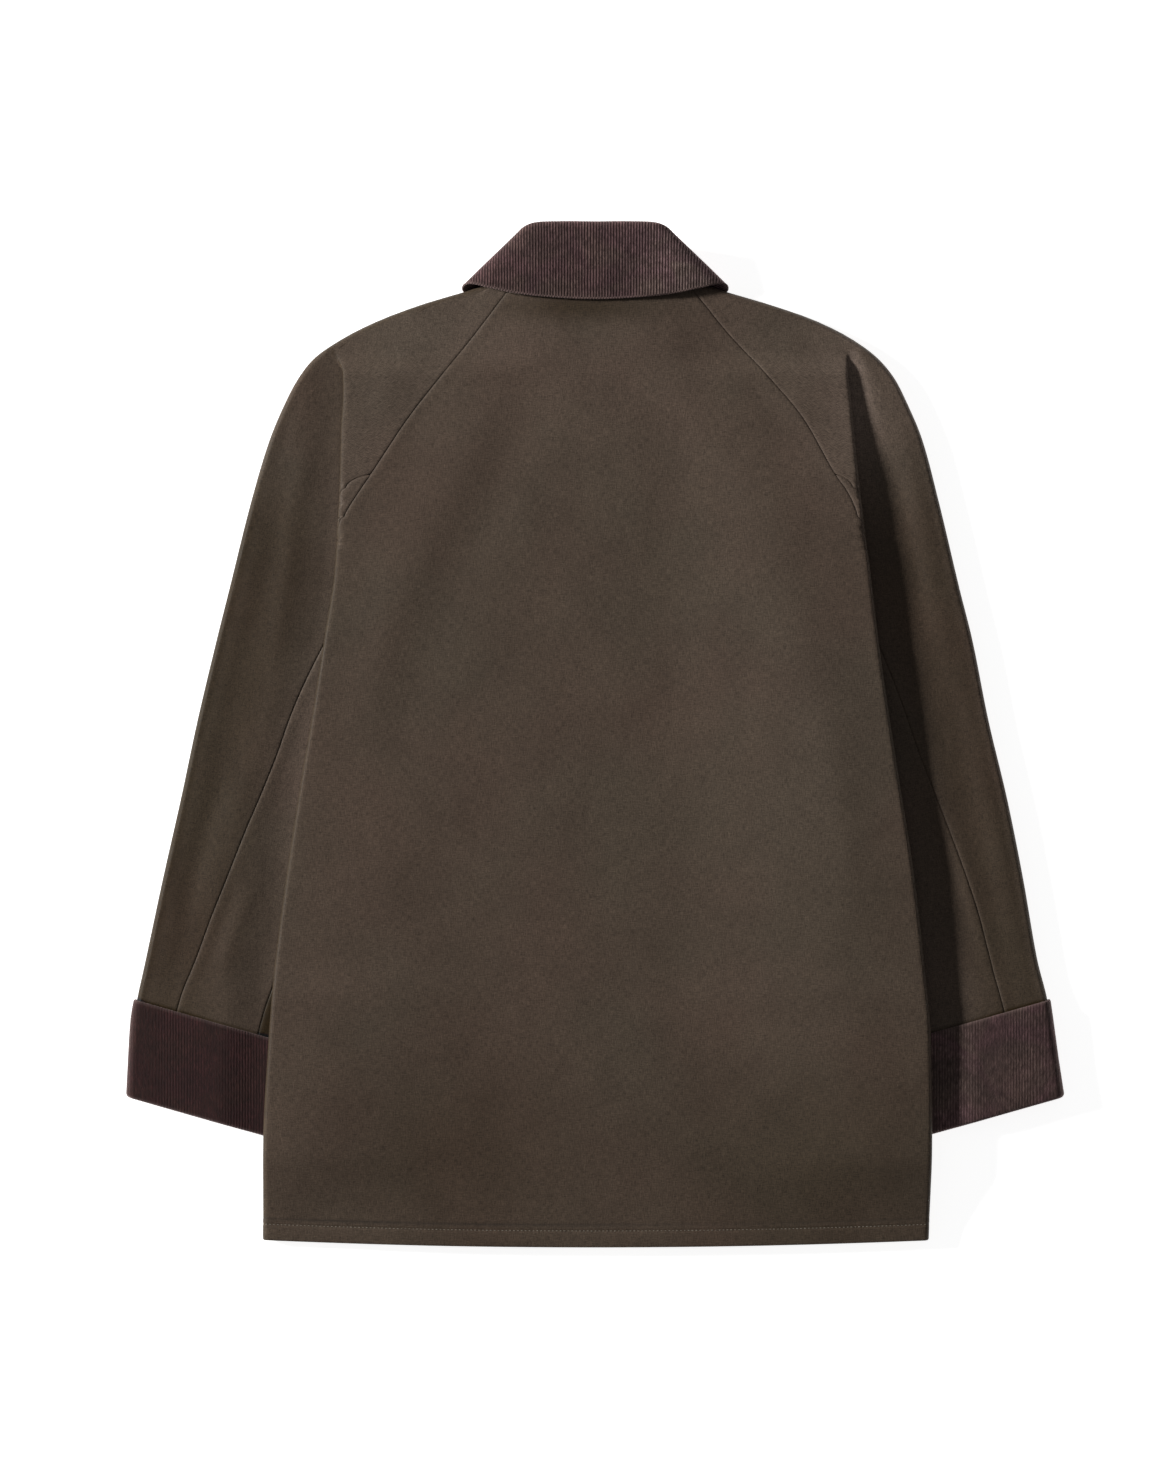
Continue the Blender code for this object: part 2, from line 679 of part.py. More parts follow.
def cut(path, first, last, first_gap=SEAM_GAP / 2, last_gap=SEAM_GAP / 2):
    """The stations of a path between two places, drawn back from each end by its gap."""
    begin, finish = station_at(path, first), station_at(path, last)
    inside = [s for s in path if first < s.place < last]
    inside = [s for s in inside if (point(s) - point(begin)).length > 1.6]
    inside = [s for s in inside if (point(s) - point(finish)).length > 1.6]
    row = [begin, *inside, finish]
    if first_gap:
        row[0] = drawn_back(row[0], row[1], first_gap)
    if last_gap:
        row[-1] = drawn_back(row[-1], row[-2], last_gap)
    return row


def seam_gap(seam, side, level, paths):
    """Half the gap at a seam, measured along the row, so that it is even however the seam slants."""
    here, there = (point(station_at(paths(side, at), seam(side, at))) for at in (level + 1, level - 1))
    run = hypot(here.x - there.x, here.z - there.z)
    drop = max(abs(here.y - there.y), 0.2)
    place = seam(side, level)
    on_turn = abs(place - round(place)) <= TURN + 0.01 and place > TURN
    return SEAM_GAP / 2 * min(hypot(1, run / drop), 4.0) * (GAP_ON_TURNS if on_turn else 1)


# ---------------------------------------------------------------- making the walls
def zip_rows(mesh, upper, lower):
    """Faces between two rows of (place, vertex), joining those whose places match."""
    i = j = 0
    while i < len(upper) - 1 or j < len(lower) - 1:
        next_upper = upper[i + 1][0] if i < len(upper) - 1 else float("inf")
        next_lower = lower[j + 1][0] if j < len(lower) - 1 else float("inf")
        if abs(next_upper - next_lower) < 0.004:
            mesh.faces.new((upper[i][1], lower[j][1], lower[j + 1][1], upper[i + 1][1]))
            i, j = i + 1, j + 1
        elif next_upper < next_lower:
            mesh.faces.new((upper[i][1], lower[j][1], upper[i + 1][1]))
            i += 1
        else:
            mesh.faces.new((upper[i][1], lower[j][1], lower[j + 1][1]))
            j += 1


def wall(name, rows, thickness, finish, sign=1, closed=False):
    """A panel of cloth: rows of stations zipped into a sheet and thickened to both sides of it."""
    mesh = bmesh.new()
    strips = []
    for row in rows:
        strips.append([
            (s.place, mesh.verts.new(Vector((sign * s.across, s.level, s.height)) * MM)) for s in row
        ])
    for upper, lower in zip(strips, strips[1:]):
        if closed:
            upper = upper + [(upper[-1][0] + 1, upper[0][1])]
            lower = lower + [(lower[-1][0] + 1, lower[0][1])]
        zip_rows(mesh, upper, lower)
    data = bpy.data.meshes.new(name)
    mesh.to_mesh(data)
    mesh.free()
    obj = bpy.data.objects.new(name, data)
    bpy.context.collection.objects.link(obj)
    thicken = obj.modifiers.new("Cloth", "SOLIDIFY")
    thicken.thickness = thickness * MM
    thicken.offset = 0.0
    thicken.use_even_offset = False
    thicken.use_quality_normals = True
    data.materials.append(finish_material(*finish))
    data.shade_smooth()
    return obj


SIDES = (("left", -1), ("right", 1))
COTTON = ("waxed_cotton", WAXED_COTTON)
PILE = ("corduroy", CORDUROY_PILE)
RESIN = ("button_resin", BUTTON_RESIN)


def mirrored(row):
    """A row of the left side, turned so that it runs from its edge to the centre, left of zero."""
    return [s._replace(place=-s.place, across=-s.across) for s in reversed(row)]


def make_back():
    """One panel from side seam to side seam, with its edges turned under."""
    rows = []
    upper_levels = [BACK_NECK_LEVEL, *SHOULDER_LEVELS[3:], *PLEAT_LEVELS, *FORK_LEVELS]
    levels = [*upper_levels, UNDERARM_LEVEL, *BODY_LEVELS]
    for level in levels:
        halves = {}
        for side, _ in SIDES:
            gap = seam_gap(back_seam, side, level, section)
            halves[side] = cut(section(side, level), CENTRE_BACK, back_seam(side, level), 0, gap)
        rows.append(mirrored(halves["left"])[:-1] + halves["right"])
    return wall("back", rows, CLOTH, COTTON)


def make_front_part(side, sign, part):
    """A front's chest, waist or hem part, from its seam to just past the centre."""
    rows = []
    neck_levels = [338, 327, 315, 306, 299, 294.5]
    levels = [*neck_levels, *PLEAT_LEVELS[1:], *FRONT_SEAM_LEVELS, UNDERARM_LEVEL, *BODY_LEVELS]
    top, bottom = FRONT_PARTS[part]
    inside = [level for level in levels if bottom + CLOTH < level < top - CLOTH]
    lowest = [] if part == "hem" else [bottom + SEAM_GAP / 2]
    for level in [top - SEAM_GAP / 2, *inside, *lowest]:
        path = section(side, level)
        if level > UNDERARM_LEVEL:
            first = FRONT_SEAM
            slope = (read(FRONT_RAGLAN, side, level + 1) - read(FRONT_RAGLAN, side, level - 1)) / 2
            gap = SEAM_GAP / 2 * hypot(1, slope)
        else:
            path = [s for s in path if s.place < FOLD - 0.01 or s.place >= FRONT_SEAM]
            first = back_seam(side, level)
            gap = seam_gap(back_seam, side, level, section)
        if level == UNDERARM_LEVEL:
            first, gap = FRONT_SEAM, UNDERARM_CLEARANCE
        rows.append(cut(path, first, front_end(side, level), gap, 0))
    return wall(f"front_{side}_{part}", rows, CLOTH, COTTON, sign)


def make_top_sleeve(side, sign):
    """The top sleeve: from the neck over the shoulder, then most of the way round the sleeve."""
    rows = []
    for level in [*SHOULDER_LEVELS, *PLEAT_LEVELS, *SLEEVE_FORK_LEVELS]:
        first = sleeve_seam(side, level)
        last = FRONT_SEAM
        path = upper_section(side, level)
        gap = seam_gap(sleeve_seam, side, level, upper_section)
        if level > BACK_NECK_LEVEL:
            seam = read(BACK_SEAM, side, BACK_NECK_LEVEL)
            share = (level - BACK_NECK_LEVEL) / (NECK_LEVEL - BACK_NECK_LEVEL)
            first = place_on_back(side, level, seam + (SHOULDER_NECK_POINT - seam) * share)
            gap = 0
        slope = (read(FRONT_RAGLAN, side, level + 1) - read(FRONT_RAGLAN, side, level - 1)) / 2
        rows.append(cut(path, first, last, gap, SEAM_GAP / 2 * hypot(1, slope)))
    for level in [UNDERARM_LEVEL, *SLEEVE_LEVELS]:
        ring = sleeve_ring(side, level)
        again = [s._replace(place=s.place + 2) for s in ring if s.place < 2.8]
        path = ring + again[1:]
        last = inner_seam(side, level) + 2
        gaps = [seam_gap(seam, side, level, sleeve_ring) for seam in (sleeve_seam, inner_seam)]
        rows.append(cut(path, sleeve_seam(side, level), last, *gaps))
    return wall(f"sleeve_{side}_top", rows, CLOTH, COTTON, sign)


def make_under_sleeve(side, sign):
    """The under sleeve: a wedge from the fork of the seams, widening under the body, to the cuff."""
    rows = []
    apex = FORK_LEVEL - UNDER_SLEEVE_TIP
    for level in [apex, *SLEEVE_FORK_LEVELS]:
        path = upper_section(side, level)
        first, last = back_seam(side, level), sleeve_seam(side, level)
        if level == apex:
            rows.append([station_at(path, (first + last) / 2)])
            continue
        gaps = [seam_gap(seam, side, level, upper_section) for seam in (back_seam, sleeve_seam)]
        rows.append(cut(path, first, last, *gaps))
    for level in [UNDERARM_LEVEL, *SLEEVE_LEVELS]:
        gaps = [seam_gap(seam, side, level, sleeve_ring) for seam in (inner_seam, sleeve_seam)]
        ends = inner_seam(side, level), sleeve_seam(side, level)
        rows.append(cut(sleeve_ring(side, level), *ends, *gaps))
    return wall(f"sleeve_{side}_under", rows, CLOTH, COTTON, sign)


def make_cuff(side, sign):
    """A turned-back cuff: a ring outside the sleeve whose lower edge rolls in and ends inside it."""
    out, within = CUFF_STANDOFF, -CUFF_STANDOFF
    bottom = CUFF_BOTTOM_LEVEL
    rows = [sleeve_ring(side, level, out) for level in (*CUFF_ROW_LEVELS, bottom + out)]
    for angle in (0.25 * pi, 0.5 * pi, 0.75 * pi):
        rows.append(sleeve_ring(side, bottom + out * (1 - sin(angle)), out * cos(angle)))
    rows.append(sleeve_ring(side, bottom + out, within))
    rows.append(sleeve_ring(side, bottom + CUFF_INSIDE_TURN, within))
    loops = [[s for s in row if s.place < FRONT_SEAM - 0.01] for row in rows]
    return wall(f"cuff_{side}", loops, CORDUROY, PILE, sign, closed=True)


# ---------------------------------------------------------------- the collar
def collar_places():
    """The table's rows with rows read between them on a smooth curve, from centre back to front."""
    rows = []
    for k in range(len(COLLAR) - 1):
        before, first = COLLAR[max(k - 1, 0)], COLLAR[k]
        last, after = COLLAR[k + 1], COLLAR[min(k + 2, len(COLLAR) - 1)]
        if k == 0:
            before = last._replace(roll_x=-last.roll_x, edge_x=-last.edge_x, seam_x=-last.seam_x)
        for t in (0, 0.5) if 2 <= k <= 6 else (0,):
            rows.append(Collar(*(
                b + 0.5 * t * (c - a + t * (2 * a - 5 * b + 4 * c - d + t * (3 * (b - c) + d - a)))
                for a, b, c, d in zip(before, first, last, after)
            )))
    return rows + [COLLAR[-1]]


def collar_frame(row):
    """Edge, roll line and neck seam of one place, and the directions up the leaf and into the collar."""
    edge = Vector((row.edge_x, row.edge_y, row.edge_z))
    roll = Vector((row.roll_x, row.roll_y, row.roll_z))
    seam = Vector((row.seam_x, row.seam_y, row.seam_z))
    up = (roll - edge).normalized()
    angle = radians(row.inward_angle)
    inward = Vector((-sin(angle), 0, -cos(angle)))
    inward = (inward - up * inward.dot(up)).normalized()
    return edge, roll, seam, up, inward


def leaf_points(row):
    """From the leaf's outer edge up to the roll line, round it and a little way down inside."""
    edge, roll, seam, up, inward = collar_frame(row)
    centre = roll - up * COLLAR_ROLL_RADIUS + inward * COLLAR_ROLL_RADIUS
    start = centre - inward * COLLAR_ROLL_RADIUS
    points = []
    for share in (0, 0.25, 0.5, 0.75):
        points.append(edge.lerp(start, share) - inward * row.bulge * sin(pi * share))
    for angle in steps(-pi / 2, pi / 2, 3):
        points.append(centre + (up * cos(angle) + inward * sin(angle)) * COLLAR_ROLL_RADIUS)
    inside = centre + inward * COLLAR_ROLL_RADIUS
    points.append(inside + (seam - inside).normalized() * COLLAR_ROLL_LENGTH)
    for place in points:
        place.z = max(place.z, LEAF_ON_FLOOR)
    return points


def stand_points(row):
    """From just below the leaf's inner end down to the neck seam."""
    _, roll, seam, up, inward = collar_frame(row)
    inside = roll - up * COLLAR_ROLL_RADIUS + inward * 2 * COLLAR_ROLL_RADIUS
    down = (seam - inside).normalized()
    start = inside + down * (COLLAR_ROLL_LENGTH + COLLAR_SEAM_GAP)
    return [start.lerp(seam, share) for share in (0, 0.35, 0.7, 1)]


def make_collar_piece(name, points_of):
    """A piece of the collar, from the left front round the back to the right front."""
    right = [points_of(row) for row in collar_places()]
    left = [[Vector((-p.x, p.y, p.z)) for p in points] for points in right[:0:-1]]
    rows = []
    for points in left + right:
        rows.append([Station(k, *p) for k, p in enumerate(points)])
    return wall(name, rows, CORDUROY, PILE)


# ---------------------------------------------------------------- buttons
def make_button(number, level):
    """A round button with a raised rim on its outer face, lying face down under the placket."""
    rim = 1.6
    profile = [
        (0.0, 0.7),
        (BUTTON_RADIUS - rim - 0.6, 0.7),
        (BUTTON_RADIUS - rim, 0.0),
        (BUTTON_RADIUS - 0.5, 0.0),
        (BUTTON_RADIUS, 0.6),
        (BUTTON_RADIUS, BUTTON_THICKNESS - 0.5),
        (BUTTON_RADIUS - 0.5, BUTTON_THICKNESS),
        (0.0, BUTTON_THICKNESS),
    ]
    mesh = bmesh.new()
    ring = [mesh.verts.new(Vector((x, 0, z)) * MM) for x, z in profile]
    edges = [mesh.edges.new(pair) for pair in zip(ring, ring[1:])]
    bmesh.ops.spin(mesh, geom=ring + edges, cent=(0, 0, 0), axis=(0, 0, 1), angle=2 * pi, steps=12)
    bmesh.ops.remove_doubles(mesh, verts=mesh.verts, dist=0.00001)
    bmesh.ops.recalc_face_normals(mesh, faces=mesh.faces)
    data = bpy.data.meshes.new(f"button_{number}")
    mesh.to_mesh(data)
    mesh.free()
    data.materials.append(finish_material(*RESIN))
    obj = bpy.data.objects.new(data.name, data)
    obj.location = (0, level * MM, 0)
    bpy.context.collection.objects.link(obj)
    return obj


def main():
    """Builds every piece of the jacket."""
    for obj in list(bpy.data.objects):
        bpy.data.objects.remove(obj, do_unlink=True)
    make_back()
    for side, sign in SIDES:
        for part in FRONT_PARTS:
            make_front_part(side, sign, part)
        make_top_sleeve(side, sign)
        make_under_sleeve(side, sign)
        make_cuff(side, sign)
    make_collar_piece("collar_leaf", leaf_points)
    make_collar_piece("collar_stand", stand_points)
    for number, level in enumerate(BUTTON_LEVELS, start=1):
        make_button(number, level)


main()
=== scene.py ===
"""A waxed cotton jacket lying face down, its raglan sleeves brought down beside the body.

The cloth is one folded wall. Its section at a level is a path: from the centre of the back outwards,
under at the crease, back out at the fold, over the sleeve, round the sleeve's outer edge and in along
the floor to the centre of the front. A place along that path is a number that means the same at every
level, so a seam is a place that changes with the level, and a panel is what lies between two seams.

Sizes are in millimetres until a mesh is made. +Y points to the collar and -X is the wearer's left.
"""

from __future__ import annotations

import json
import logging
import math
from collections.abc import Callable, Sequence
from dataclasses import dataclass, field
from enum import Enum
from functools import lru_cache

import bpy
import numpy as np
from bpy.types import ID, Material, Mesh, Node, NodeSocket, NodeTree, Object
from mathutils import Matrix, Vector, noise

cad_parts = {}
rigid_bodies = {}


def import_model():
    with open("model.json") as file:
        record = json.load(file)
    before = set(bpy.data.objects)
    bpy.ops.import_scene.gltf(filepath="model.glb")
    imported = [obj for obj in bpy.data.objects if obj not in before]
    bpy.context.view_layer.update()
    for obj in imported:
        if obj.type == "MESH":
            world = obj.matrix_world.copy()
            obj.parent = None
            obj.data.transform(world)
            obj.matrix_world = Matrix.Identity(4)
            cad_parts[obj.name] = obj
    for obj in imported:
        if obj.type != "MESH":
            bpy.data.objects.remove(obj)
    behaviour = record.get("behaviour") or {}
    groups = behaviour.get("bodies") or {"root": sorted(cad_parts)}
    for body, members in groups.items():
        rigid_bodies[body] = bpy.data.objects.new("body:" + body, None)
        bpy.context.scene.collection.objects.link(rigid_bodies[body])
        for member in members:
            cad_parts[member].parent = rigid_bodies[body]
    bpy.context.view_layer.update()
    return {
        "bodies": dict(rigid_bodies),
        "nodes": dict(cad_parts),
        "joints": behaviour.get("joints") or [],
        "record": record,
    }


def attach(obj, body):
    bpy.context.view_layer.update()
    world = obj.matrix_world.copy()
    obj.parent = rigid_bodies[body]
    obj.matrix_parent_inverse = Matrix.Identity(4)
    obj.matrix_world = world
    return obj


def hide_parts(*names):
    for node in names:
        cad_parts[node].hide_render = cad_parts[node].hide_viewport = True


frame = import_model()

LOG = logging.getLogger("jacket")
MM = 0.001
Array = np.ndarray
Colour = tuple[float, float, float]
WHITE = (1.0, 1.0, 1.0, 1.0)


class Side(Enum):
    """A side of the jacket, by the sign of its X."""

    LEFT = -1
    RIGHT = 1

    @property
    def word(self) -> str:
        """The side's name in piece names."""
        return self.name.lower()


class Slot(Enum):
    """The record's material slots."""

    COTTON = "waxed_cotton"
    CORDUROY = "corduroy"
    RESIN = "button_resin"


# ------------------------------ lines and smooth tables
def run_of(line: Array) -> Array:
    """The distance along a line at each of its points."""
    return np.concatenate([[0.0], np.cumsum(np.linalg.norm(np.diff(line, axis=0), axis=1))])


def unit(vectors: Array) -> Array:
    """Vectors, one a row, made one long."""
    return vectors / np.linalg.norm(vectors, axis=1)[:, None]


def read(at: Array | float, known: Array, points: Array) -> Array:
    """Points between the known ones of a line."""
    return np.stack([np.interp(at, known, points[:, k]) for k in range(3)], -1)


def paired(*columns: Array | float) -> Array:
    """Numbers of the same points set side by side."""
    return np.stack(np.broadcast_arrays(*columns), -1)


def between(count: int) -> Array:
    """Even shares of a stretch, without its two ends."""
    return np.linspace(0, 1, count)[1:-1]


def hump(at: Array | float, centre: float, width: Array | float) -> Array:
    """1 at the centre, falling smoothly to almost nothing two widths away."""
    return np.exp(-(((at - centre) / width) ** 2))


def soft_step(low: float, high: float, at: Array | float) -> Array:
    """0 before low, 1 past high and a soft step between; high may be less than low."""
    share = np.clip((np.asarray(at, float) - low) / (high - low), 0.0, 1.0)
    return share * share * (3.0 - 2.0 * share)


class Curve:
    """A smooth line through rows of (at, value) that never overshoots them."""

    def __init__(self, rows: Sequence[tuple[float, float]]) -> None:
        """Works out the line's slopes.

        Args:
            rows: pairs of where and how much, in any order.
        """
        ordered = sorted(rows)
        self.at = np.array([row[0] for row in ordered], float)
        self.value = np.array([row[1] for row in ordered], float)
        self.step = np.diff(self.at)
        rise = np.diff(self.value) / self.step
        self.slope = np.empty(len(self.at))
        self.slope[0], self.slope[-1] = rise[0], rise[-1]
        same_way = rise[:-1] * rise[1:] > 0
        total = np.where(same_way, rise[:-1] + rise[1:], 1.0)
        self.slope[1:-1] = np.where(same_way, 2 * rise[:-1] * rise[1:] / total, 0.0)

    def __call__(self, at: Array | float) -> Array:
        """Reads the line.

        Args:
            at: where to read it.

        Returns:
            Its value there, held level past its ends.
        """
        at = np.clip(at, self.at[0], self.at[-1])
        k = np.clip(np.searchsorted(self.at, at, side="right") - 1, 0, len(self.step) - 1)
        step = self.step[k]
        t = (at - self.at[k]) / step
        return (
            self.value[k] * (2 * t**3 - 3 * t**2 + 1)
            + self.slope[k] * step * (t**3 - 2 * t**2 + t)
            + self.value[k + 1] * (3 * t**2 - 2 * t**3)
            + self.slope[k + 1] * step * (t**3 - t**2)
        )


class SideCurve:
    """A curve for each side of the jacket, from rows of (level, left, right)."""

    def __init__(self, *rows: tuple[float, float, float]) -> None:
        """Splits the rows by side."""
        self.by_side = {
            Side.LEFT: Curve([(level, left) for level, left, _ in rows]),
            Side.RIGHT: Curve([(level, right) for level, _, right in rows]),
        }

    def __call__(self, side: Side, level: Array | float) -> Array:
        """The side's value at a level."""
        return self.by_side[side](level)


# ------------------------------ sizes of the laid jacket
CLOTH = 1.5
FLOOR = CLOTH / 2
NECK_LEVEL = 364.4
BACK_NECK_LEVEL = 360.0
FRONT_NECK_LEVEL = 292.0
SHOULDER_NECK_POINT = 75.0
PLEAT_TIP_LEVEL = 306.0
FORK_LEVEL = 208.6
ARMHOLE_MEETS_CREASE = 172.0
SLEEVE_SEAM_MEETS_CREASE = 196.0
UNDERARM_LEVEL = 115.4
CUFF_LEVEL = -213.0
HEM_LEVEL = -410.0
HEM_CORNER_RISE = 5.5
HEM_HALF_WIDTH = 265.0
FOLD_RADIUS = 1.8
EDGE_FOLD = 3.4
ROLL_WIDTH = 2.2
PRESSED_SLEEVE = 9.5
FRONT_OVERLAP = 25.0
BUTTON_LEVELS = (262.0, 122.0, -18.0, -158.0, -298.0)
PLACKET_RISE = 3.35
# how high each front lies over the buttons, and the half-widths between which it comes down again
FRONT_OVERLAP_RISE = {
    Side.LEFT: (PLACKET_RISE, FRONT_OVERLAP - 1, 42),
    Side.RIGHT: (5.3, FRONT_OVERLAP + 7, 66),
}

# places along the section path
CENTRE_BACK, CREASE, FOLD, OUTER, FRONT_SEAM, CENTRE_FRONT = 0.0, 1.0, 2.0, 3.0, 4.0, 5.0
TURN = 0.1  # a turn takes this much of the path on each side of its place
HIDDEN_SHARE = 0.22  # out of sight, points lie this much sparser
TURN_EFFORT = 5.0  # a turn of one radian gets as many points as this many millimetres
ROUND_THE_OUTSIDE = (1.12, 9.0)  # the whole path beyond the crease

# half-width of the whole outline: shoulder, then the sleeve's outer edge
OUTLINE = SideCurve(
    (366, 76, 76), (360, 86, 86), (354, 103, 103), (350, 117, 117), (346, 131, 131),
    (331.4, 171.4, 174.2), (315.4, 203.4, 206), (299.4, 225.8, 227), (283.4, 238, 239.8),
    (267.4, 246.6, 248), (235.4, 260.2, 261.4), (187.4, 274.6, 274.2), (115.4, 292.6, 291.4),
    (75.4, 302.6, 301.4), (11.4, 317.8, 314.2), (-52.6, 331.4, 329.4), (-116.6, 345.8, 342.2),
    (-180.6, 359.4, 353.4), (-212.6, 366.2, 361.2), (-228.6, 369, 363.6), (-260.6, 371, 368),
    (-292, 372.6, 372.8),
)
# half-width of the body: the crease below the shoulder, then the rolled side edge
BODY_EDGE = SideCurve(
    (307, 212, 205), (299.4, 205.4, 201.5), (287.4, 201, 201.4), (273, 201, 203.4),
    (243.4, 202.6, 206.2), (209.8, 203.4, 209.4), (161.8, 205.8, 215), (131.4, 207.6, 219),
    (75.4, 216.2, 225.6), (13.8, 225.8, 234.4), (-36.6, 234.4, 242.2), (-111, 245.8, 253.8),
    (-191, 256.2, 263), (-244.6, 260.4, 267.4), (-324.6, 264.6, 268.4), (-412, 265.4, 266.2),
)
# half-width at the hidden fold above the underarm, and at the sleeve's hidden inner edge below it
INNER_EDGE = SideCurve(
    (300, 201, 199), (283, 196, 196), (UNDERARM_LEVEL, 116.2, 120), (-5.4, 153, 156),
    (-123.8, 183.4, 186), (-254.2, 218.6, 219), (-331, 232.2, 232.2), (-412, 236, 236),
)
# half-width of the raglan seam on the back, then of the armhole seam below its fork
BACK_SEAM = SideCurve(
    (360, 66, 74), (347.4, 75.4, 84.6), (321, 95.4, 106), (289, 121, 135.6), (252.2, 149.8, 166.4),
    (FORK_LEVEL, 178.6, 191), (192.2, 189.8, 202.2), (176.2, 199.6, 209),
    (ARMHOLE_MEETS_CREASE, 201.2, 210),
)
ARMHOLE_PLACE = SideCurve(
    (ARMHOLE_MEETS_CREASE, CREASE - TURN, CREASE - TURN), (158, CREASE + TURN, CREASE + TURN),
    (UNDERARM_LEVEL, 2.0, 2.0),
)
# half-width of the seam between top and under sleeve from the fork to the crease, then its place
SLEEVE_SEAM = SideCurve(
    (FORK_LEVEL, 178.6, 191), (204.8, 190.4, 199), (200.5, 197, 204),
    (SLEEVE_SEAM_MEETS_CREASE, 200, 206.4),
)
SLEEVE_SEAM_PLACE = SideCurve(
    (SLEEVE_SEAM_MEETS_CREASE, CREASE - TURN, CREASE - TURN), (186, CREASE + TURN, CREASE + TURN),
    (165, FOLD - TURN, FOLD - TURN), (150, FOLD + TURN, FOLD + TURN), (UNDERARM_LEVEL, 2.43, 2.42),
    (85, 2.5, 2.54), (45, 2.54, 2.572), (20, 2.555, 2.585), (-5, 2.568, 2.598), (-31, 2.59, 2.617),
    (-69, 2.628, 2.65), (-109, 2.66, 2.682), (-138, 2.684, 2.7), (-169, 2.705, 2.71),
    (-202, 2.735, 2.718), (-292, 2.765, 2.735),
)
# the under sleeve's other seam, from the underarm to the cuff, as a place on the sleeve
INNER_SLEEVE_SEAM_PLACE = SideCurve(
    (UNDERARM_LEVEL, 2.0, 2.0), (88, 2.1, 2.1), (0, 2.22, 2.2), (-135, 2.32, 2.3),
    (-215, 2.37, 2.36), (-292, 2.38, 2.38),
)
# the side seam under the body, as a place: from the underarm out to just under the edge
SIDE_SEAM_PLACE = SideCurve(
    (UNDERARM_LEVEL, 2.0, 2.0), (30, 1.76, 1.76), (-52, 1.54, 1.54), (-132, 1.3, 1.3),
    (-210, 1.18, 1.18), (-412, 1.14, 1.14),
)
# half-width of the front: neck curve of the sleeve, then the front raglan seam to the underarm
FRONT_RAGLAN = SideCurve(
    (366, 75, 75), (357, 72.5, 72.5), (346, 66, 66), (330, 73, 73), (300, 86, 86),
    (255, 101, 101.5), (205, 111, 112.5), (160, 114.4, 117.4), (135, 114.4, 118),
    (UNDERARM_LEVEL, 114.2, 118),
)
# half-width of the neck curve on the fronts
FRONT_NECK = SideCurve(
    (346, 64.5, 64.5), (337, 58.6, 58.6), (319, 45.8, 45.8), (304, 31.5, 31.5), (297, 17, 17),
    (FRONT_NECK_LEVEL, -FRONT_OVERLAP, -FRONT_OVERLAP),
)
# the back layer: its height in the middle, and the half-widths between which it climbs to the edge
BACK_MIDDLE = Curve([
    (366, 16.5), (340, 16.5), (297, 17), (230, 17.6), (167, 18), (100, 18), (-180, 18),
    (-290, 17.2), (-360, 14.8), (-412, 12.8),
])
RAMP_FOOT = Curve([
    (366, 20), (340, 26), (297, 34), (230, 44), (167, 48), (100, 50), (33, 52), (-72, 56),
    (-180, 64), (-290, 80), (-360, 96), (-412, 110),
])
RAMP_TOP = Curve([
    (366, 90), (340, 110), (297, 120), (230, 140), (167, 156), (100, 168), (33, 184), (-72, 202),
    (-180, 222), (-290, 238), (-360, 244), (-412, 246),
])
# how far the pleat has turned over (1 is flat under itself), and the radius of the edge's roll
PLEAT_OPENING = Curve([(306, 0.1), (299, 0.4), (291, 0.78), (283, 1), (200, 1)])
ROLL_RADIUS = SideCurve(
    (306, 1.5, 1.5), (299, 1.5, 1.5), (291, 1.6, 1.6), (283, 1.8, 1.9), (240, 2.1, 3.4), (200, 2.3, 5.2),
    (UNDERARM_LEVEL, 2.6, 6.4), (20, 2.9, 7), (-80, 3, 7.2), (-240, 3, 6.2), (-330, 3, 5.4), (-412, 3.2, 4.4),
)
# heights of the sleeve's top layer under the body and beside it, of its bottom layer, and of the
# body's under layer where it passes over the sleeve
SLEEVE_UNDER_BODY = Curve([
    (366, 12), (306, 13), (291, 11.5), (260, 10), (200, PRESSED_SLEEVE), (-190, PRESSED_SLEEVE),
    (-216, 10.6), (-300, 11),
])
SLEEVE_FREE = Curve([(366, 13.5), (300, 13.2), (200, 12.6), (-190, 12.8), (-216, 14.8), (-300, 14.8)])
SLEEVE_CLIMB = SideCurve((366, 40, 14), (290, 40, 16), (200, 40, 36), (-300, 40, 40))
SLEEVE_BOTTOM = Curve([(366, FLOOR), (-185, FLOOR), (-212, 3.35), (-300, 3.35)])
BODY_OVER_SLEEVE = Curve([
    (UNDERARM_LEVEL, PRESSED_SLEEVE + 2 * FOLD_RADIUS), (-100, 13.1), (-180, 13.3), (-212, 15.7),
    (-336, 15.8), (-364, 10.5), (-392, 5), (-412, 3),
])
SLEEVE_TILT = Curve([(UNDERARM_LEVEL, 0.0), (0, 0.12), (-100, 0.22), (-200, 0.285), (-300, 0.285)])


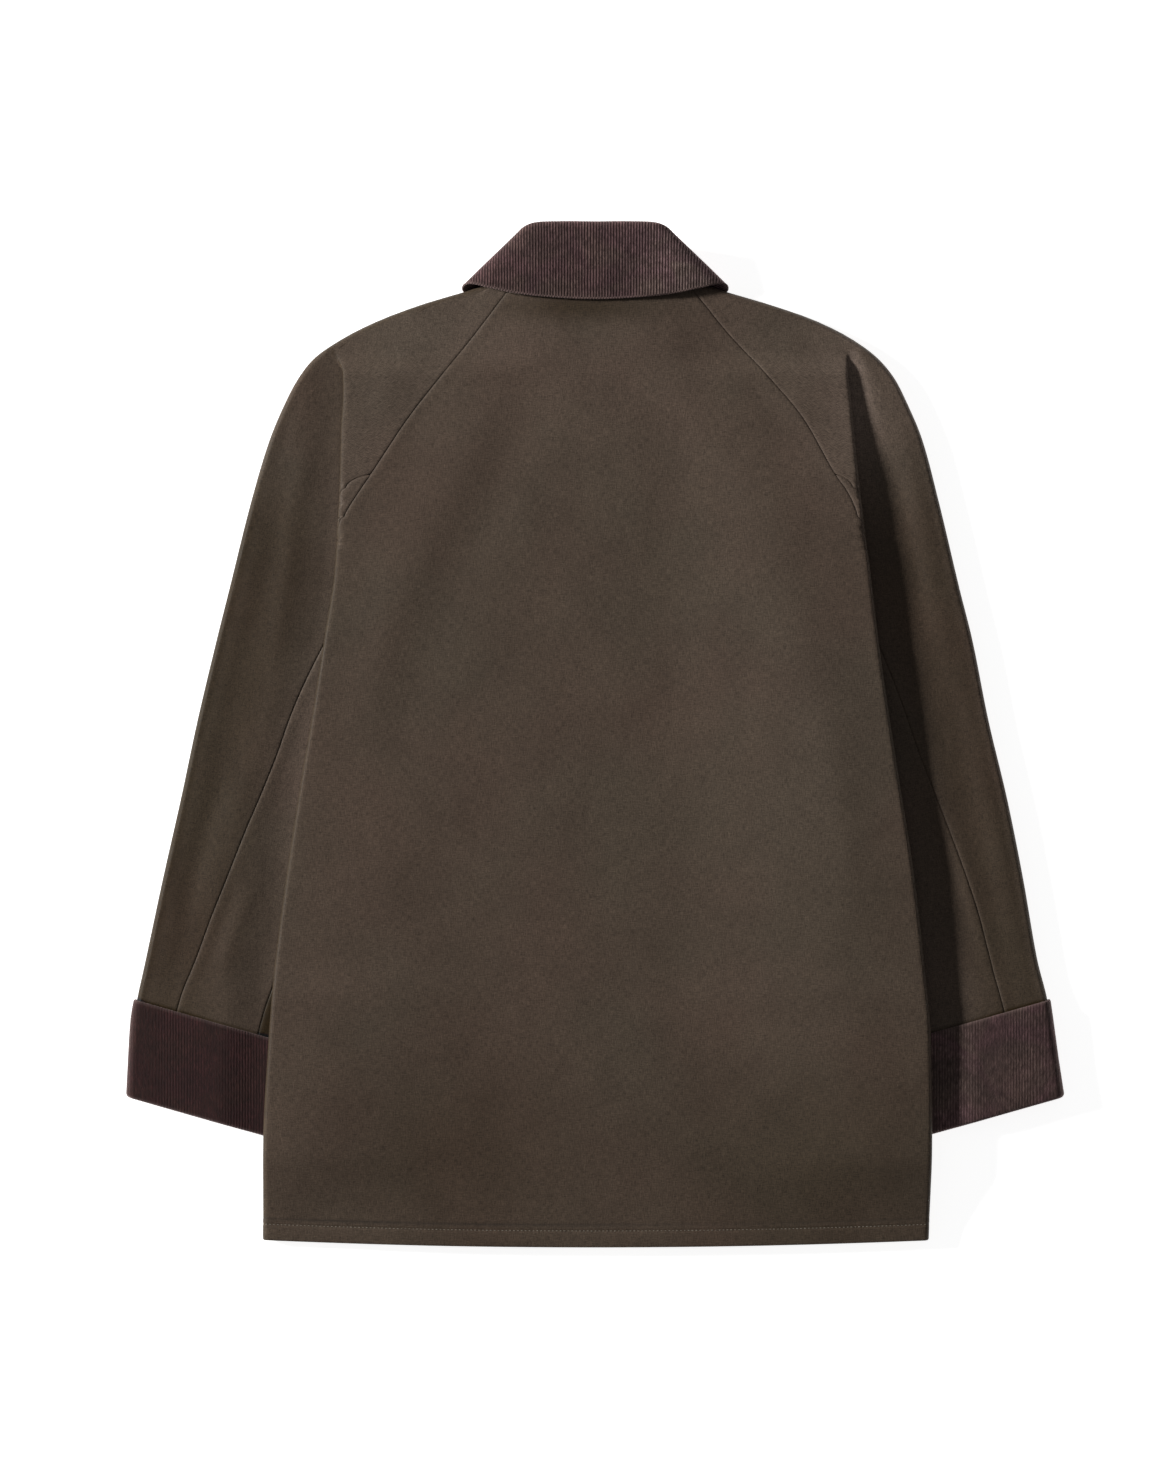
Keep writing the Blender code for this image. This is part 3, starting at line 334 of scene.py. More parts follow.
# ------------------------------ creases
@dataclass(frozen=True)
class Crease:
    """One soft ridge (depth above 0) or trough (below 0) along a line across the cloth."""

    line: tuple[tuple[float, float], ...]
    width: float
    depth: float
    lean: float = 0.0

    def height(self, x: Array, y: Array) -> Array:
        """The crease's height at each point of the cloth.

        Args:
            x: across, in millimetres.
            y: level, in millimetres.

        Returns:
            Heights, in millimetres.
        """
        line = smooth_line(np.array(self.line, float), 24)
        run, ahead = run_of(line), unit(np.gradient(line, axis=0))
        gap = np.stack([x[..., None] - line[:, 0], y[..., None] - line[:, 1]], axis=-1)
        nearest = np.argmin((gap**2).sum(-1), axis=-1)
        best = np.take_along_axis(gap, nearest[..., None, None], axis=-2)[..., 0, :]
        away = best[..., 0] * ahead[nearest, 1] - best[..., 1] * ahead[nearest, 0]
        along = (best * ahead[nearest]).sum(-1)
        width = self.width * np.where(away > 0, 1 + self.lean, 1 - self.lean)
        at = np.clip((run[nearest] + along) / run[-1], 0.0, 1.0)
        uneven = 0.78 + 0.22 * np.sin(5.1 * at + self.width) * np.cos(11.3 * at + self.depth)
        taper = soft_step(-0.02, 0.3, at) * soft_step(1.02, 0.7, at)
        past = hump(along, 0, 1.4 * self.width)
        return self.depth * hump(away, 0, width) * taper * uneven * past


def smooth_line(points: Array, count: int) -> Array:
    """More points on a smooth curve through the given ones.

    Args:
        points: the curve's points, one a row.
        count: how many steps go between two of them.

    Returns:
        The denser rows of points.
    """
    padded = np.vstack([2 * points[0] - points[1], points, 2 * points[-1] - points[-2]])
    rows = []
    for a, b, c, d in zip(padded, padded[1:], padded[2:], padded[3:]):
        t = np.linspace(0, 1, count, endpoint=False)[:, None]
        rows.append(b + 0.5 * t * (c - a + t * (2 * a - 5 * b + 4 * c - d + t * (3 * (b - c) + d - a))))
    return np.vstack([*rows, points[-1:]])


def ripple(x: Array, y: Array, size: float, seed: float) -> Array:
    """Smooth uneven heights between about -1 and 1, from the humps' size and a seed for their pattern."""
    heights = [noise.noise(Vector((a, b, seed))) for a, b in zip(np.ravel(x) / size, np.ravel(y) / size)]
    return np.array(heights).reshape(np.shape(x))


BACK_CREASES = (
    Crease(((-62, 318), (-96, 238), (-140, 150), (-176, 62), (-190, -20)), 26, 2.6, 0.25),
    Crease(((-28, 300), (-70, 215), (-112, 120), (-146, 20), (-160, -60)), 20, -1.3),
    Crease(((34, 330), (78, 262), (128, 196), (160, 130)), 24, 1.5, -0.2),
    Crease(((-178, -60), (-168, -150), (-132, -236), (-70, -300)), 34, 1.7, 0.2),
    Crease(((-216, -250), (-172, -296), (-104, -330), (-20, -344)), 26, -1.2),
    Crease(((60, -210), (116, -196), (170, -216), (226, -268)), 30, 1.5),
    Crease(((92, -246), (150, -250), (206, -300)), 20, -1.0),
    Crease(((150, 110), (186, 20), (206, -90), (214, -180)), 26, 1.6, -0.2),
    Crease(((64, 150), (96, 40), (104, -70)), 38, 0.9),
    Crease(((-60, -20), (-40, -120), (4, -210)), 44, 0.9),
    Crease(((6, 210), (16, 130), (6, 40)), 46, 0.8),
)
SHOULDER_CREASES = (
    Crease(((-132, 322), (-160, 286), (-184, 246)), 14, 1.4),
    Crease(((-112, 296), (-140, 258), (-158, 226)), 12, -0.9),
    Crease(((138, 326), (168, 292), (186, 252)), 14, 1.3),
    Crease(((116, 286), (146, 250), (170, 226)), 12, -0.9),
)
SLEEVE_CREASES = (
    Crease(((-222, 262), (-238, 190), (-250, 110), (-262, 40)), 9, 1.7),
    Crease(((-236, 282), (-254, 214), (-268, 140)), 8, -1.1),
    Crease(((-262, 30), (-284, -50), (-306, -130), (-322, -190)), 12, 1.8, 0.2),
    Crease(((-292, -20), (-318, -96), (-334, -160)), 11, -1.2),
    Crease(((-270, -110), (-290, -160), (-304, -206)), 8, 1.4),
    Crease(((226, 270), (240, 200), (254, 130), (262, 60)), 9, -1.1),
    Crease(((244, 250), (258, 180), (274, 96), (288, 20)), 8, 1.2),
    Crease(((256, 20), (282, -60), (300, -130), (322, -200)), 9, 2.0, -0.2),
    Crease(((300, -10), (322, -90), (336, -170)), 10, 1.3),
    Crease(((270, -60), (286, -120), (296, -180)), 8, -1.1),
)
FRONT_CREASES = (
    Crease(((-90, 190), (-110, 90), (-96, -30)), 22, 1.0),
    Crease(((-150, -90), (-130, -190), (-96, -290)), 24, 1.2),
    Crease(((-76, -120), (-90, -230), (-72, -340)), 20, 0.9),
    Crease(((92, 170), (104, 70), (88, -60)), 22, 1.0),
    Crease(((150, -60), (126, -170), (134, -290)), 24, 1.2),
    Crease(((84, -150), (96, -250), (80, -340)), 20, 0.9),
)


@dataclass(frozen=True)
class PaintedLightPatch:
    """A soft patch of painted light (strength above 0) or painted shade (below 0) in the cloth's colour."""

    centre: tuple[float, float]
    reach: tuple[float, float]
    depth: float

    def strength(self, x: Array, y: Array) -> Array:
        """The patch's strength at each point of the cloth."""
        (cx, cy), (rx, ry) = self.centre, self.reach
        return self.depth * hump(x, cx, rx) * hump(y, cy, ry)


# painted light and shade: paler at the top of the back, on the right sleeve below the shoulder and on the
# body's right; darker on the left shoulder and low on the back; a painted shadow under the collar leaf's
# lower edge
PAINTED_LIGHT_PATCHES = (
    PaintedLightPatch((0, 330), (260, 110), 0.17),
    PaintedLightPatch((-200, 290), (60, 50), -0.1),
    PaintedLightPatch((230, 266), (58, 70), 0.56),
    PaintedLightPatch((190, 30), (60, 140), 0.1),
    PaintedLightPatch((-110, -340), (90, 80), -0.25),
    PaintedLightPatch((170, -345), (110, 80), -0.28),
    PaintedLightPatch((-14, 342), (62, 12), -0.6),
)


@dataclass(frozen=True)
class SleevePaintedLight:
    """Painted light (above 0) and painted shade (below 0) over a sleeve, from the body out to the sleeve's
    edge.
    """

    shoulder: float
    beside: float
    beside_fall_at_cuff: float
    beside_fall_at_shoulder: float
    outside: float
    outside_rise_at_shoulder: float
    edge: float
    gap: float
    gap_rise_at_pleat: float
    gap_width: float

    def painted_shade(self, side: Side, x: Array, level: Array, place: Array) -> Array:
        """The painted light and shade at each point of the sleeve.

        Args:
            side: left or right.
            x: across, in millimetres.
            level: level, in millimetres.
            place: place along the section path.

        Returns:
            A painted shade for each point, paler above 0.
        """
        high = soft_step(*NEAR_SHOULDER, level)
        beside = self.beside - self.beside_fall_at_cuff * soft_step(10, -140, level)
        beside = beside - self.beside_fall_at_shoulder * high
        beside = self.shoulder + (beside - self.shoulder) * soft_step(FOLD - TURN, FOLD + TURN, place)
        outside = self.outside + self.outside_rise_at_shoulder * high
        painted_shade = beside + (outside - beside) * soft_step(2.35, 2.75, place)
        # a thin painted shadow line just above the cuff's top edge
        painted_shade = painted_shade - 0.5 * hump(level, CUFF_LEVEL + 0.9, 1.3)
        # along the body's edge: a painted contact shadow on the left, and on the right painted light that
        # lifts the body's cast shadow near the pleat
        depth = self.gap + self.gap_rise_at_pleat * soft_step(170, 270, level)
        in_gap = hump(np.abs(x), BODY_EDGE(side, level), self.gap_width) * (place > FOLD - TURN)
        # the sleeve's outer fold: painted shade on the left, painted light on the right
        return painted_shade + depth * in_gap + self.edge * soft_step(2.86, 2.94, place)


NEAR_SHOULDER = (150, 235)  # the levels between which the shades change to those of the shoulder
# painted light beside the body, which on the right lifts the body's cast shadow, and painted shade over the
# sleeve's outer part
SLEEVE_PAINTED_LIGHT = {
    Side.LEFT: SleevePaintedLight(0.19, 0.6, 0.5, 0.56, -0.33, 0.33, -0.35, -0.2, 0.0, 3.0),
    Side.RIGHT: SleevePaintedLight(0.07, 0.52, 0.0, 0.0, -0.27, 0.0, 0.35, 0.0, 0.45, 7.0),
}


def creases(group: Sequence[Crease], x: Array, y: Array, size: float, rough: float) -> Array:
    """The height of a layer's creases and of the small humps between them, by the humps' size and height."""
    humps = rough * ripple(x, y, size, 3.7) + 0.4 * rough * ripple(x, y, size / 2.6, 9.1)
    return humps + sum(crease.height(x, y) for crease in group)


# ------------------------------ heights of the layers
def collar_lift(across: Array | float, level: float) -> Array:
    """How far the front layer is raised by the collar leaf that lies under it."""
    return 2.9 * soft_step(222, 244, level) * (1 - soft_step(126, 160, across))


def underarm_lift(side: Side, across: Array | float, level: float) -> Array:
    """How far the floor layer rises to the underarm point, where four seams meet."""
    away = np.hypot(across - FRONT_RAGLAN(side, UNDERARM_LEVEL), level - UNDERARM_LEVEL)
    return 6.0 * (1 - soft_step(0, 14, away))


def sleeve_height(side: Side, across: Array | float, level: Array | float) -> Array:
    """Height of the sleeve's top layer: pressed under the body and fuller beside it.

    Args:
        side: left or right.
        across: distance from the centre line.
        level: height along the jacket.

    Returns:
        Height above the floor.
    """
    pressed, free = SLEEVE_UNDER_BODY(level), SLEEVE_FREE(level)
    outer = OUTLINE(side, level)
    beside = soft_step(2, SLEEVE_CLIMB(side, level), across - BODY_EDGE(side, level))
    # a shallow trough runs down the sleeve, 29 to 34 mm inside its outer edge where it is deepest
    trough = soft_step(80, 34, outer - across) * soft_step(11, 29, outer - across)
    depth = 0.8 * soft_step(285, 215, level) * (1 - 0.6 * soft_step(-150, -215, level))
    return pressed + (free - pressed) * beside - depth * trough * beside


def hem_level(across: Array | float, level: Array | float) -> Array:
    """The hem is a little higher at its corners than in the middle."""
    return level + HEM_CORNER_RISE * (across / HEM_HALF_WIDTH) ** 2 * soft_step(-300, HEM_LEVEL, level)


# ------------------------------ the section path
@dataclass(frozen=True, eq=False)
class Path:
    """A section of the folded cloth: places in rising order and a point at each of them."""

    place: Array
    points: Array

    @staticmethod
    def of(place: Array, across: Array, level: Array | float, height: Array | float) -> Path:
        """A path from its columns."""
        return Path(np.asarray(place, float), paired(across, level, height).astype(float))

    @staticmethod
    def joined(*paths: Path) -> Path:
        """Paths laid end to end."""
        return Path(np.concatenate([p.place for p in paths]), np.vstack([p.points for p in paths]))

    def at(self, place: Array | float) -> Array:
        """The point at each place."""
        return read(place, self.place, self.points)

    def part(self, first: float, last: float) -> Path:
        """The stretch between two places.

        Args:
            first: the place where it starts.
            last: the place where it ends.

        Returns:
            The stretch, with a point at each of its ends.
        """
        inside = (self.place > first) & (self.place < last)
        place = np.concatenate([[first], self.place[inside], [last]])
        return Path(place, np.vstack([self.at(first), self.points[inside], self.at(last)]))

    def spread(self, count: int, near_first: Array, near_last: Array,
               hidden: Sequence[tuple[float, float]] = ()) -> tuple[Array, Array, Array, Array]:
        """Points along the path, closer together on its turns and near its ends.

        Args:
            count: how many points go between the ones near the ends.
            near_first: distances of the first points from the start.
            near_last: distances of the last points from the end.
            hidden: stretches, by the places they lie between, that get few points.

        Returns:
            The points, their places, and their distances from the start and from the end.
        """
        keep = np.concatenate([[True], np.diff(run_of(self.points)) > 1e-6])
        points, place = self.points[keep], self.place[keep]
        step, run = np.diff(points, axis=0), run_of(points)
        length = np.linalg.norm(step, axis=1)
        heading = np.unwrap(np.arctan2(step[:, 2], step[:, 0]))
        shown = np.ones(len(place))
        for low, high in hidden:
            shown[(place > low) & (place < high)] = HIDDEN_SHARE
        bend = np.abs(np.diff(heading)) * shown[1:-1]
        turned = np.concatenate([[0.0], np.cumsum(bend), [bend.sum()]])
        effort = np.concatenate([[0.0], np.cumsum(length * shown[1:])]) + TURN_EFFORT * turned
        whole = run[-1]
        room = near_first[-1] + near_last[-1]
        squeeze = min(1.0, 0.8 * whole / room) if room > 0 else 1.0
        near_first, near_last = near_first * squeeze, near_last * squeeze
        low, high = np.interp([near_first[-1], whole - near_last[-1]], run, effort)
        middle = np.interp(np.linspace(low, high, count + 2)[1:-1], effort, run)
        runs = np.concatenate([near_first, middle, (whole - near_last)[::-1]])
        return read(runs, run, points), np.interp(runs, run, place), runs, whole - runs


def arc(first: float, last: float, centre: tuple[float, float], radii: tuple[float, float],
        angles: tuple[float, float], level: float, count: int = 14) -> Path:
    """A path round a turn.

    Args:
        first: place at its start.
        last: place at its end.
        centre: across and height of its centre.
        radii: its half-width and half-height.
        angles: from and to, measured from straight up towards the outside.
        level: its level.
        count: number of steps.

    Returns:
        The path.
    """
    angle = np.linspace(*angles, count + 1)
    across = centre[0] + radii[0] * np.sin(angle)
    return Path.of(np.linspace(first, last, count + 1), across, level, centre[1] + radii[1] * np.cos(angle))


@dataclass(frozen=True)
class Slice:
    """One side of the jacket cut across at a level; "across" is the distance from the centre line."""

    side: Side
    level: float

    def read(self, table: SideCurve | Curve) -> float:
        """A table's value at this level."""
        return float(table(self.side, self.level) if isinstance(table, SideCurve) else table(self.level))

    def steepness(self, table: SideCurve, step: float) -> float:
        """How much longer a table's line runs here than the levels that it crosses."""
        above, below = (table(self.side, self.level + way * step) for way in (1, -1))
        return math.hypot(1, float(above - below) / (2 * step))

    def sleeve_height(self, across: Array | float) -> Array:
        """Height of the sleeve's top layer."""
        return sleeve_height(self.side, across, self.level)

    def edge_height(self) -> float:
        """Height of the back layer where its edge begins to turn under.

        Returns:
            Height above the floor.
        """
        radius = self.read(ROLL_RADIUS)
        if self.level <= UNDERARM_LEVEL:
            return self.read(BODY_OVER_SLEEVE) + 2 * radius
        below = float(self.sleeve_height(self.read(BODY_EDGE)))
        return below + (radius + FOLD_RADIUS) * (1 - math.cos(math.pi * self.read(PLEAT_OPENING)))

    def back_height(self, across: Array) -> Array:
        """Height of the back layer: level in the middle, climbing over the hidden sleeve to the edge.

        Args:
            across: where to find it.

        Returns:
            Height above the floor.
        """
        middle, above_pleat = self.read(BACK_MIDDLE), self.level > PLEAT_TIP_LEVEL
        edge = self.sleeve_height(self.read(OUTLINE)) if above_pleat else self.edge_height()
        return middle + (edge - middle) * soft_step(self.read(RAMP_FOOT), self.read(RAMP_TOP), across)

    def front_height(self, across: Array) -> Array:
        """Height of the front: on the floor, over the sleeve, over the collar and over the buttons.

        Args:
            across: where to find it.

        Returns:
            Height above the floor.
        """
        if self.level > UNDERARM_LEVEL:
            rise = collar_lift(across, self.level)
        else:
            inner = self.read(INNER_EDGE)
            rise = (self.read(BODY_OVER_SLEEVE) - FLOOR) * soft_step(inner - 34, inner - 2, across)
        top, first, last = FRONT_OVERLAP_RISE[self.side]
        overlap = top * (1 - soft_step(first, last, across))
        return FLOOR + np.maximum(np.maximum(rise, underarm_lift(self.side, across, self.level)), overlap)

    def edge_width(self) -> float:
        """Half-width of the sleeve's outer turn, wider where the outline runs aslant."""
        return EDGE_FOLD * self.steepness(OUTLINE, 2)

    def roll_start(self) -> float:
        """Where the back layer begins to turn under."""
        return self.read(BODY_EDGE) - min(self.read(ROLL_RADIUS), ROLL_WIDTH)

    def crease_roll(self, turn: float) -> Path:
        """The roll at the back layer's edge.

        Args:
            turn: how far round it goes, in radians.

        Returns:
            The path round the roll.
        """
        radius, start = self.read(ROLL_RADIUS), self.roll_start()
        centre, radii = (start, self.edge_height() - radius), (min(radius, ROLL_WIDTH), radius)
        return arc(CREASE - TURN, CREASE + TURN, centre, radii, (0, turn), self.level)

    def back_layer(self, reach: float) -> Path:
        """The back layer from the centre out to where it begins to turn.

        Args:
            reach: where it ends, across.

        Returns:
            The layer's path.
        """
        share = np.linspace(0, 1, 70, endpoint=False)
        across = reach * share
        height = self.back_height(across)
        return Path.of((CREASE - TURN) * share, across, hem_level(across, self.level), height)

    def pleat(self) -> Path:
        """Round the crease, in under the back layer to the fold, and round the fold.

        Returns:
            The path from the crease to the fold.
        """
        turn = math.pi * self.read(PLEAT_OPENING)
        crease = self.crease_roll(turn)
        across, _, height = crease.points[-1]
        layers = [crease]
        if turn > 0.99 * math.pi:
            end = self.read(INNER_EDGE) + FOLD_RADIUS
            share = between(16)
            place = CREASE + TURN + (1 - 2 * TURN) * share
            layers.append(Path.of(place, across + (end - across) * share, self.level, height))
            across = end
        middle, top = across + FOLD_RADIUS * math.sin(turn), height + FOLD_RADIUS * math.cos(turn)
        angle, place = np.linspace(turn, 0, 13), np.linspace(FOLD - TURN, FOLD + TURN, 13)
        across, height = middle - FOLD_RADIUS * np.sin(angle), top - FOLD_RADIUS * np.cos(angle)
        return Path.joined(*layers, Path.of(place, across, self.level, height))

    @lru_cache(maxsize=None)
    def upper(self) -> Path:
        """The whole path above the underarm, where body and sleeve are still one.

        Returns:
            The path from the centre of the back to the front's centre or neck.
        """
        side, level, has_pleat = self.side, self.level, self.level < PLEAT_TIP_LEVEL
        outer, seam = self.read(OUTLINE), self.read(FRONT_RAGLAN)
        bottom = FLOOR + float(collar_lift(outer, level))
        turned = self.pleat() if has_pleat else None
        start = turned.points[-1][0] if has_pleat else 0.0
        room = outer - start - 2 if has_pleat else outer - seam
        wide = min(self.edge_width(), 0.6 * room)
        tall = (float(self.sleeve_height(outer - wide if has_pleat else outer)) - bottom) / 2
        centre = (outer - wide, bottom + tall)
        outside = arc(OUTER - TURN, OUTER + TURN, centre, (wide, tall), (0, math.pi), level)
        layers = [self.back_layer(turned.points[0][0] if has_pleat else outside.points[0][0])]
        if has_pleat:
            share = between(32)
            across = start + (outside.points[0][0] - start) * share
            eased = turned.points[-1][2] - float(self.sleeve_height(start))
            height = self.sleeve_height(across) + eased * (1 - share)
            layers += [turned, Path.of(FOLD + TURN + (1 - 2 * TURN) * share, across, level, height)]
        share = np.linspace(0, 1, 26)[1:]
        across = outside.points[-1][0] + (seam - outside.points[-1][0]) * share
        lift = np.maximum(collar_lift(across, level), underarm_lift(side, across, level))
        under = Path.of(OUTER + TURN + (1 - TURN) * share, across, level, FLOOR + lift)
        front = self.front_layer(seam)
        return Path.joined(*layers, outside, under, Path(front.place[1:], front.points[1:]))

    def neck_end(self) -> float:
        """Where the front ends: at the neck curve, or past the centre below it."""
        return self.read(FRONT_NECK) if self.level > FRONT_NECK_LEVEL else -FRONT_OVERLAP

    def front_layer(self, start: float) -> Path:
        """The front, from its seam or the sleeve's inner edge in past the centre.

        Args:
            start: where it begins, across.

        Returns:
            The front's path.
        """
        across = np.linspace(start, self.neck_end(), 90)
        place = FRONT_SEAM + (start - across) / (start + FRONT_OVERLAP)
        return Path.of(place, across, hem_level(across, self.level), self.front_height(across))

    @lru_cache(maxsize=None)
    def body(self) -> Path:
        """The body's path below the underarm: back layer, rolled edge, and in again over the sleeve.

        Returns:
            The path from the centre of the back to past the centre of the front.
        """
        start, inner = self.roll_start(), self.read(INNER_EDGE)
        roll = self.crease_roll(math.pi)
        roll.points[:, 1] = hem_level(roll.points[:, 0], self.level)
        share = between(14)
        across = start + (inner - start) * share
        place = CREASE + TURN + (1 - TURN) * share
        under = Path.of(place, across, hem_level(across, self.level), self.front_height(across))
        front = self.front_layer(inner)
        front.place[0] = FRONT_SEAM
        return Path.joined(self.back_layer(start), roll, under, front)

    @lru_cache(maxsize=None)
    def ring(self, grow: float = 0.0) -> Path:
        """The sleeve's closed path below the underarm, from its inner edge over the top and back below.

        The level is that of the outer edge; the inner edge is lower.

        Args:
            grow: how far the path stands off outside the sleeve's own cloth.

        Returns:
            The path from place 2 to place 4.
        """
        level, slope, outer = self.level, self.read(SLEEVE_TILT), self.read(OUTLINE)
        inner = self.read(INNER_EDGE)
        for _ in range(4):
            inner = float(INNER_EDGE(self.side, level - slope * (outer - inner)))

        def top(across: Array | float) -> Array:
            """Height of the top layer on this slanting row."""
            return sleeve_height(self.side, across, level - slope * (outer - across))

        bottom, wide = self.read(SLEEVE_BOTTOM), self.edge_width()
        inner_tall, outer_tall = (float(top(at) - bottom) / 2 for at in (inner, outer - EDGE_FOLD))
        first, last = inner + inner_tall, outer - wide
        in_centre, in_radii = (first, bottom + inner_tall), (inner_tall + grow, inner_tall + grow)
        start = arc(FOLD, FOLD + TURN, in_centre, in_radii, (-math.pi / 2, 0), level, 8)
        share = between(46)
        across = first + (last - first) * share
        upper = Path.of(FOLD + TURN + (1 - 2 * TURN) * share, across, level, top(across) + grow)
        out_centre, out_radii = (last, bottom + outer_tall), (wide + grow, outer_tall + grow)
        outside = arc(OUTER - TURN, OUTER + TURN, out_centre, out_radii, (0, math.pi), level)
        share = between(30)
        across = last + (first - last) * share
        lower = Path.of(OUTER + TURN + (1 - 2 * TURN) * share, across, level, bottom - grow)
        end = arc(FRONT_SEAM - TURN, FRONT_SEAM, in_centre, in_radii, (-math.pi, -math.pi / 2), level, 8)
        ring = Path.joined(start, upper, outside, lower, end)
        ring.points[:, 1] = level - slope * (outer - ring.points[:, 0])
        return ring

    def section(self) -> Path:
        """The path that holds the body's panels."""
        return self.upper() if self.level > UNDERARM_LEVEL else self.body()

    def place_on_back(self, across: float) -> float:
        """The place on the back layer that lies this far from the centre.

        Args:
            across: distance from the centre line.

        Returns:
            The place along the section path.
        """
        path = self.section()
        top = path.place <= CREASE - TURN
        return float(np.interp(across, path.points[top, 0], path.place[top]))

    def back_seam(self) -> float:
        """Raglan seam, armhole seam and side seam, down the back's edge."""
        if self.level >= ARMHOLE_MEETS_CREASE:
            return self.place_on_back(self.read(BACK_SEAM))
        return self.read(ARMHOLE_PLACE if self.level > UNDERARM_LEVEL else SIDE_SEAM_PLACE)

    def sleeve_seam(self) -> float:
        """The seam between top and under sleeve, from the fork to the cuff.

        Returns:
            The seam's place along the section path.
        """
        if self.level >= FORK_LEVEL:
            return self.back_seam()
        if self.level >= SLEEVE_SEAM_MEETS_CREASE:
            return self.place_on_back(self.read(SLEEVE_SEAM))
        return self.read(SLEEVE_SEAM_PLACE)

    def inner_seam(self) -> float:
        """The under sleeve's seam that starts at the underarm."""
        return self.read(INNER_SLEEVE_SEAM_PLACE)

    def slant(self, seam: Callable[[Slice], float], path: Callable[[Slice], Path]) -> float:
        """How much longer a step along the row is than the same step square to a seam.

        Args:
            seam: gives the seam's place in a slice.
            path: gives the row's path in a slice.

        Returns:
            The ratio, at most 4.
        """
        above, below = Slice(self.side, self.level + 1), Slice(self.side, self.level - 1)
        here, there = (path(at).at(seam(at)) for at in (above, below))
        run = math.hypot(here[0] - there[0], here[2] - there[2])
        return min(math.hypot(1, run / max(abs(here[1] - there[1]), 0.2)), 4.0)


def evened(values: Sequence[float], reach: int = 6) -> Array:
    """Values of neighbouring rows, each the mean of those up to reach rows away."""
    padded = np.pad(np.array(values, float), reach, mode="edge")
    return np.convolve(padded, np.full(2 * reach + 1, 1 / (2 * reach + 1)), mode="valid")


class Edge(Enum):
    """How a panel's edge is made: offsets of its columns from the edge, and the cloth's rise there."""

    PLAIN = ((0.0, 0.6, 2.0), ((0.0, 0.0), (2.0, 0.0)))
    SEAM = ((0.14, 0.5, 1.0, 1.7, 3.4), ((0.0, -0.7), (0.5, -0.3), (1.1, -0.05), (1.9, 0.04), (3.6, 0.0)))
    LAPPED = (
        (0.14, 0.5, 1.0, 1.7, 3.4, 6.4, 7.6, 9.4),
        ((0.0, -0.7), (0.5, -0.28), (1.1, -0.03), (1.9, 0.07), (3.6, 0.09), (6.4, 0.08), (7.8, 0.02),
         (9.6, 0.0)),
    )
    CENTRE = ((0.0,), ((0.0, 0.0), (1.0, 0.0)))

    @property
    def offsets(self) -> Array:
        """Distances of the columns next to the edge."""
        return np.array(self.value[0])

    @property
    def rise(self) -> Curve:
        """How the cloth rises or dips near the edge, by distance."""
        return Curve(self.value[1])


# ------------------------------ sheets of cloth
FAR = 99.0  # added to a distance from an edge, it puts the edge out of reach


@dataclass(frozen=True, eq=False)
class Row:
    """One row of a sheet: its points, their places and their distances from its two edges."""

    points: Array
    places: Array
    first: Array
    last: Array


@dataclass
class Sheet:
    """A grid of points over a panel, a row for each level, with what the finish needs to know."""

    points: list[Array] = field(default_factory=list)
    places: list[Array] = field(default_factory=list)
    levels: list[float] = field(default_factory=list)
    first: list[Array] = field(default_factory=list)
    last: list[Array] = field(default_factory=list)

    def add(self, path: Path, level: float, count: int, ends: tuple[Edge, Edge],
            slants: Sequence[float] = (1.0, 1.0), hidden: Sequence[tuple[float, float]] = ()) -> None:
        """Adds a row along a path.

        Args:
            path: the stretch between the panel's two edges.
            level: the row's level.
            count: columns between those near the edges.
            ends: how each edge is made.
            slants: how much longer the offsets are along the row than square to the seam.
            hidden: stretches, by the places they lie between, that get few columns.
        """
        near = [end.offsets * factor for end, factor in zip(ends, slants)]
        points, place, first, last = path.spread(count, *near, hidden)
        self.points.append(points)
        self.places.append(place)
        self.levels.append(level)
        self.first.append(first / slants[0])
        self.last.append(last / slants[1])

    def grid(self) -> Array:
        """All points as one array of rows and columns."""
        return np.array(self.points)

    def rows(self) -> list[Row]:
        """The sheet row by row."""
        return [Row(*values) for values in zip(self.points, self.places, self.first, self.last)]


def outward(points: Array) -> Array:
    """The direction out of the cloth, square to its row, in the section's plane.

    Args:
        points: rows and columns of points.

    Returns:
        A direction for each point.
    """
    along = np.gradient(points, axis=1)
    across = np.stack([-along[..., 2], np.zeros(points.shape[:2]), along[..., 0]], -1)
    return across / np.maximum(np.linalg.norm(across, axis=-1, keepdims=True), 1e-9)


def placed(name: str, mesh: ID) -> Object:
    """Puts a mesh, a light or a camera in the scene.

    Args:
        name: the object's name.
        mesh: what it shows.

    Returns:
        The object.
    """
    obj = bpy.data.objects.new(name, mesh)
    bpy.context.collection.objects.link(obj)
    return obj


@dataclass(frozen=True)
class Cut:
    """The flat piece that a panel is cut as: the smallest rectangle round it, and its own area."""

    width: float
    length: float
    area: float


